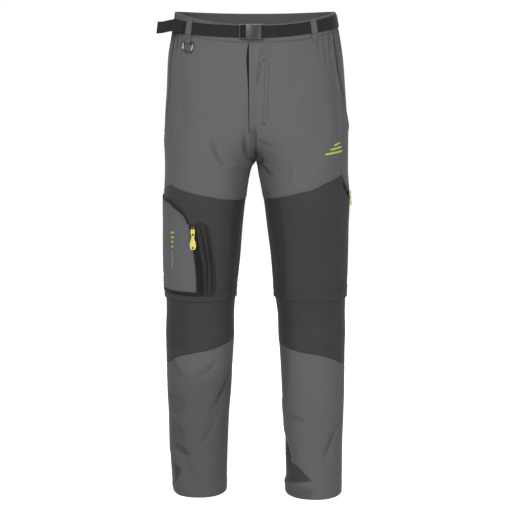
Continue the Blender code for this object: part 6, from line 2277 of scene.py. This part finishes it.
@dataclass
class CargoPocket:
    """Zipped cargo pocket on the right thigh."""

    finishes: Finishes
    sewing: Sewing
    wall: float = 1.3
    width: float = 140.0
    length: float = 185.0
    gusset_width: float = 32.0
    gusset_length: float = 160.0
    foot_drop: float = 9.0
    zip_rows: int = 76

    def corner(self, s: np.ndarray, t: np.ndarray) -> tuple[np.ndarray, np.ndarray]:
        """Return across and height of a place on the grey panel."""
        top_across = mix(CARGO_EDGE(CARGO_TOP[0][1]), CARGO_BACK, s)
        height = mix(CARGO_PANEL_TOP(top_across), CARGO_FOOT, t)
        return mix(CARGO_EDGE(height), CARGO_BACK, s), height

    def patch(self, name: str, s: np.ndarray, t: np.ndarray, place: tuple[np.ndarray, np.ndarray],
              off: np.ndarray, material: bpy.types.Material, nodes: Sequence[str],
              painted_shade: np.ndarray | None = None) -> None:
        """Build one piece of the pocket on the right thigh."""
        edge = np.minimum.reduce([s, 1.0 - s, t, 1.0 - t])
        tuck = 0.55 * (1.0 - np.sqrt(np.clip(edge / 0.015, 0.0, 1.0)))
        outer, inner = laid(name, RIGHT, *place, off + self.wall - tuck, self.wall - tuck * 0.6, False)
        piece = shell(name + "_cloth", outer, inner, material, painted_shade)
        dress_sheet(piece, outer, nodes)

    def build(self) -> None:
        """Build the panel, its band, the gusset, the foot and the zip."""
        s, t = np.meshgrid(graded(self.width, 2.2), graded(self.length, 2.4))
        hump = np.sin(math.pi * s) ** 0.6 * np.sin(math.pi * t) ** 0.6
        dent = -1.1 * np.exp(-(((s - 0.10 - 0.06 * t) / 0.05) ** 2)) * np.sin(math.pi * t)
        dent += 0.5 * np.sin(9.0 * s + 2.6 * t) * np.sin(math.pi * t) * np.sin(math.pi * s)
        dent -= 1.6 * np.exp(-(((t - 0.93 + 0.10 * s) / 0.03) ** 2)) * np.exp(-(((s - 0.62) / 0.2) ** 2))
        off = OVERLAY + 2.6 * hump + dent * 0.6
        groove = np.exp(-((s * self.width - 2.2) / 0.7) ** 2)
        groove += np.exp(-((t * self.length - 2.2) / 0.7) ** 2)
        self.patch("cargo_panel", s, t, self.corner(s, t), off - 0.15 * groove, self.finishes.grey,
                   ["cargo_panel"])
        s, t = np.meshgrid(graded(self.width, 2.2), graded(CARGO_BAND, 1.2))
        across, height = self.corner(s, np.zeros(s.shape))
        hump = np.sin(math.pi * t)
        # The band's middle carries painted shade, darker than its black cloth alone
        self.patch("cargo_band", s, t, (across, height + CARGO_BAND * (1.0 - t)), OVERLAY + 0.4 + 0.5 * hump,
                   self.finishes.black, ["cargo_band"], 0.75 * hump)
        s, t = np.meshgrid(graded(self.gusset_width, 1.2), graded(self.gusset_length, 2.2))
        foot = GUSSET_FOOT + self.foot_drop * (ease(1.0 - s / 0.22) + 0.7 * ease((s - 0.86) / 0.14))
        height = mix(GUSSET_TOP - 7.0 * ease(1.0 - s / 0.35), foot, t)
        across = mix(CARGO_GUSSET(height), CARGO_EDGE(height) - 0.030, s)
        hump = np.sin(math.pi * s) ** 0.6 * np.sin(math.pi * t) ** 0.6
        lines = soft_lines(s, t, 2.2, 0.6) * np.sin(math.pi * t) ** 0.5
        # Painted shade in the gusset's soft folds and along its front edge
        painted_shade = np.clip(0.75 * ease(0.2 - lines) + 0.5 * ease((0.12 - s) / 0.12), 0.0, 1.0)
        self.patch("cargo_gusset", s, t, (across, height), OVERLAY + 1.8 * hump + 1.2 * lines,
                   self.finishes.black, ["cargo_gusset"], painted_shade)
        s, t = np.meshgrid(graded(self.width, 2.4), graded(self.foot_drop, 1.4))
        height = CARGO_FOOT - 0.6 - self.foot_drop * t + 3.0 * s
        across = mix(CARGO_EDGE(height) - 0.028, CARGO_BACK - 0.01, s)
        hump = np.sin(math.pi * t)
        # The black strip under the panel's foot carries painted shade along its middle
        self.patch("cargo_foot", s, t, (across, height), OVERLAY + 0.5 * hump, self.finishes.black,
                   [], 0.8 * hump)
        self.zip()
        self.stitching()

    def zip(self) -> None:
        """Build the zip's tape and teeth."""
        s, t = np.meshgrid(np.linspace(0, 1, 9), np.linspace(0, 1, self.zip_rows))
        height = mix(GUSSET_TOP - 5.0, CARGO_FOOT, t)
        across = CARGO_EDGE(height) - mix(0.0265, 0.0035, s)
        outer, inner = laid("cargo_zip", RIGHT, across, height, OVERLAY + 0.7, 0.7, False)
        piece = shell("cargo_zip_tape", outer, inner, self.finishes.tape)
        dress_sheet(piece, outer, ["cargo_zip"])
        height = np.linspace(GUSSET_TOP - 6.0, CARGO_FOOT + 2.0, 60)
        across = CARGO_EDGE(height) - CARGO_ZIP_CENTRE
        line = FORM.place(RIGHT, across, height, OVERLAY + 1.1, False)
        teeth = RowMaker(RowKind.TOOTH).lay("cargo_zip_teeth", [line], ZIP_TEETH, self.finishes.plastic, 0.02)
        dress(teeth)

    def stitching(self) -> None:
        """Sew the panel's edges and the band."""
        down = np.linspace(0.012, 0.99, 70)
        over = np.linspace(0.01, 0.99, 60)
        lines = ((0.017, down, 0.6), (over, 0.012, 0.594), (over, 0.045, 0.99), (over, 0.985, 0.6))
        for s, t, lift in lines:
            self.sewing.on_form("grey", RIGHT, *self.corner(s, t), OVERLAY + self.wall + lift, False)


@dataclass
class ThighZip:
    """Slanted zip of the left thigh pocket."""

    finishes: Finishes

    def build(self) -> None:
        """Build the tape and the teeth."""
        s, t = np.meshgrid(np.linspace(0, 1, 50), np.linspace(0, 1, 9))
        across, top = (np.interp(s * 3.0, range(4), column) for column in zip(*THIGH_ZIP))
        height = top - THIGH_ZIP_WIDTH * t
        outer, inner = laid("thigh_zip", LEFT, across, height, OVERLAY + 0.7, 0.7, False)
        piece = shell("thigh_zip_tape", outer, inner, self.finishes.tape)
        dress_sheet(piece, outer, ["thigh_zip_left"])
        line = FORM.place(LEFT, across[4], height[4], OVERLAY + 1.1, False)
        teeth = RowMaker(RowKind.TOOTH).lay("thigh_zip_teeth", [line], ZIP_TEETH, self.finishes.plastic, 0.02)
        dress(teeth)


# Sliders and pulls


@dataclass
class Slider:
    """A zip slider with its pull, which swings on its own body."""

    finishes: Finishes
    name: str
    side: float
    across: float
    height: float
    slider_node: str
    pull_node: str
    length: float = 1.0
    width: float = 1.0

    def build(self) -> None:
        """Build the slider and the pull."""
        origin, along, up, out = FORM.axes(self.side, self.across, self.height, SLIDER_LIFT)

        def world(points: np.ndarray) -> np.ndarray:
            """Return points of the slider's own frame."""
            return origin + points[:, :1] * along + points[:, 1:2] * up + points[:, 2:] * out

        slider = Parts()
        points, faces = plate([SLIDER_OUTLINE], 0.0, 2.2, 0.5)
        slider.add(world(points), faces)
        points, faces = plate([BRIDGE_OUTLINE], -0.85, 0.85, 0.3)
        slider.add(world(points[:, [2, 0, 1]]), faces)
        dress(slider.build(f"{self.name}_slider_body", self.finishes.metal), [self.slider_node])
        hinge = world(np.array([[0.0, -HINGE_DOWN, HINGE_LIFT]]))[0]
        plumb = along * along[2] - np.array([0.0, 0.0, 1.0])
        down = plumb / np.linalg.norm(plumb) if np.dot(plumb, out) > 0 else -up
        face = np.cross(down, along)

        def hung(points: np.ndarray) -> np.ndarray:
            """Return points of the pull's own frame."""
            return hinge + points[:, :1] * along + points[:, 1:2] * down + points[:, 2:] * face

        marks = np.linspace(PULL_PROFILE[0][0], PULL_PROFILE[-1][0], 34)
        half = PULL_WIDTH(marks) * self.width * 0.9
        half[-1] *= 0.8
        outline = list(zip(-half, marks * self.length)) + list(zip(half, marks * self.length))[::-1]
        gap = PULL_HOLE_HALF * self.width
        window = rounded_box(-gap, gap, 9.0 * self.length, 14.0 * self.length, 1.1, 4)
        hole = rounded_box(-gap, gap, 37.0 * self.length, 41.0 * self.length, 1.3 * self.length, 4)
        pull = Parts()
        points, faces = plate([outline, window, hole], -PULL_THICK / 2, PULL_THICK / 2, 0.4)
        pull.add(hung(points), faces)
        for mark in PULL_RIBS:
            reach = float(PULL_WIDTH(mark)) * self.width * 0.7
            at = mark * self.length
            points, faces = plate([rounded_box(-reach, reach, at - 0.5, at + 0.5, 0.4, 3)], 0.35, 0.85, 0.2)
            pull.add(hung(points), faces)
        dress(pull.build(f"{self.name}_pull_body", self.finishes.rubber), [self.pull_node],
              self.pull_node)


# Embroidered marks


@dataclass
class Marks:
    """Plain embroidered bars in lime thread on the left hip and the cargo pocket."""

    finishes: Finishes

    def bar(self, parts: Parts, side: float, start: tuple[float, float], end: tuple[float, float],
            wide: float, off: float) -> None:
        """Add one satin-stitched bar between two places."""
        girth = float(FORM.girth(np.array(side), np.array(start[1])))
        run = np.array([(end[0] - start[0]) * girth, end[1] - start[1]])
        aside = np.array([-run[1], run[0]]) / np.linalg.norm(run) * wide / 2
        s, t = np.meshgrid(np.linspace(-1, 1, 7), np.linspace(0, 1, 17))
        taper = np.sqrt(np.clip(1.0 - (2.0 * np.abs(t - 0.5)) ** 6, 0.05, 1.0))
        across = start[0] + (run[0] * t + aside[0] * s * taper) / girth
        height = start[1] + run[1] * t + aside[1] * s * taper
        outer = FORM.place(side, across, height, off + 0.35 * (1.0 - s * s) * taper)
        inner = FORM.place(side, across, height, off - 0.6)
        points = np.concatenate([outer.reshape(-1, 3), inner.reshape(-1, 3)])
        parts.add(points, wall_faces(*s.shape).tolist())

    def build(self) -> None:
        """Build the bars on the hip and the pocket."""
        hip = Parts()
        for row, (start, end) in enumerate(((0.318, 0.362), (0.300, 0.374), (0.284, 0.384))):
            height = -268.0 - 8.5 * row
            self.bar(hip, LEFT, (start, height - 1.5), (end, height + 2.0), 4.2, 0.15)
        dress(hip.build("hip_embroidery", self.finishes.lime_thread))
        pocket = Parts()
        for row in range(4):
            height = -451.0 - 10.0 * row
            wide = 0.020 - 0.003 * row
            self.bar(pocket, RIGHT, (0.374 - wide / 2, height), (0.374 + wide / 2, height - 3.0), 3.4, 4.2)
        dress(pocket.build("pocket_embroidery", self.finishes.lime_thread))
        small = Parts()
        for row in range(8):
            height = -494.0 - 4.6 * row
            self.bar(small, RIGHT, (0.369, height), (0.377, height - 1.0), 1.6, 4.2)
        dress(small.build("pocket_small_marks", self.finishes.pale_thread))


@dataclass
class Camera:
    """The photograph's camera."""

    place: tuple[float, float, float] = (0.0, -3.25, 0.05)
    target: tuple[float, float, float] = (0.0, 0.0, -0.515)
    lens: float = 108.7

    def build(self) -> None:
        """Set up the camera."""
        data = bpy.data.cameras.new("camera")
        data.lens = self.lens
        data.sensor_width = 36.0
        camera = bpy.data.objects.new("camera", data)
        camera.location = self.place
        aim = Vector(self.target) - Vector(self.place)
        camera.rotation_euler = aim.to_track_quat("-Z", "Y").to_euler()
        bpy.context.scene.collection.objects.link(camera)
        bpy.context.scene.camera = camera


@dataclass(frozen=True)
class SoftBox:
    """One large soft light."""

    name: str
    place: tuple[float, float, float]
    size: float
    power: float


@dataclass
class Studio:
    """Pale round floor that curves up into a wall, with soft light."""

    floor: float = -1.16
    reach: float = 8.0
    wall: float = 9.0
    bend: float = 3.0
    steps: int = 25
    turns: int = 72
    target: tuple[float, float, float] = (0.0, 0.0, -0.5)
    boxes: tuple[SoftBox, ...] = (
        SoftBox("key_light", (-1.0, -2.9, 1.2), 1.6, 54.0),
        SoftBox("fill_light", (1.7, -2.8, 0.0), 1.8, 22.0),
        SoftBox("low_light", (0.1, -2.9, -0.9), 1.4, 10.0),
        SoftBox("back_light", (0.6, 2.9, 1.2), 2.0, 60.0),
    )

    def build(self) -> None:
        """Build the stage and the lights."""
        tree = ShaderTree("pale_stage")
        constants = {"Base Color": (0.86, 0.86, 0.86, 1.0), "Roughness": 0.9,
                     "Emission Color": (1.0, 1.0, 1.0, 1.0), "Emission Strength": 0.7}
        material = tree.finish(constants, {})
        rise = np.radians(np.linspace(0.0, 90.0, self.steps))
        out = np.append(self.reach - self.bend * (1.0 - np.sin(rise)), self.reach)
        high = np.append(self.floor + self.bend * (1.0 - np.cos(rise)), self.floor + self.wall)
        turn = 2.0 * math.pi * np.arange(self.turns) / self.turns
        rings = np.stack([np.outer(out, np.cos(turn)), np.outer(out, np.sin(turn)),
                          np.repeat(high[:, None], self.turns, axis=1)], axis=-1)
        points = np.concatenate([[[0.0, 0.0, self.floor]], rings.reshape(-1, 3)]) / MM
        number = 1 + np.arange(len(out) * self.turns).reshape(len(out), self.turns)
        ahead = np.roll(number, -1, axis=1)
        faces = [(0, first, second) for first, second in zip(number[0].tolist(), ahead[0].tolist())]
        faces += np.stack([number[:-1], number[1:], ahead[1:], ahead[:-1]], axis=-1).reshape(-1, 4).tolist()
        stage = mesh_object("pale_stage", points, faces, material)
        stage.visible_diffuse = False
        world = bpy.data.worlds.new("studio")
        world.use_nodes = True
        world.node_tree.nodes["Background"].inputs[0].default_value = (1.0, 1.0, 1.0, 1.0)
        world.node_tree.nodes["Background"].inputs[1].default_value = 0.3
        bpy.context.scene.world = world
        for box in self.boxes:
            light = bpy.data.lights.new(box.name, "AREA")
            light.size = box.size
            light.energy = box.power
            lamp = bpy.data.objects.new(box.name, light)
            lamp.location = box.place
            aim = Vector(self.target) - Vector(box.place)
            lamp.rotation_euler = aim.to_track_quat("-Z", "Y").to_euler()
            bpy.context.scene.collection.objects.link(lamp)
        bpy.context.scene.view_settings.view_transform = "Standard"


def main() -> None:
    """Build the trousers on the frame."""
    logging.basicConfig(level=logging.INFO, format="%(message)s")
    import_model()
    Camera().build()
    Studio().build()
    finishes = Finishes()
    sewing = Sewing(finishes)
    Shell(finishes, sewing).build()
    Waist(finishes, sewing).build()
    Fly(finishes, sewing).build()
    Belt(finishes, sewing).build()
    Buckle(finishes).build()
    KeyRing(finishes).build()
    CargoPocket(finishes, sewing).build()
    ThighZip(finishes).build()
    cargo_across = float(CARGO_EDGE(CARGO_SLIDER_HEIGHT)) - CARGO_ZIP_CENTRE
    Slider(finishes, "cargo", RIGHT, cargo_across, CARGO_SLIDER_HEIGHT, "cargo_slider", "cargo_pull").build()
    Slider(finishes, "thigh", LEFT, *THIGH_SLIDER, "thigh_slider_left", "thigh_pull_left", 0.6, 0.85).build()
    Marks(finishes).build()
    sewing.sew()


if __name__ == "__main__":
    main()
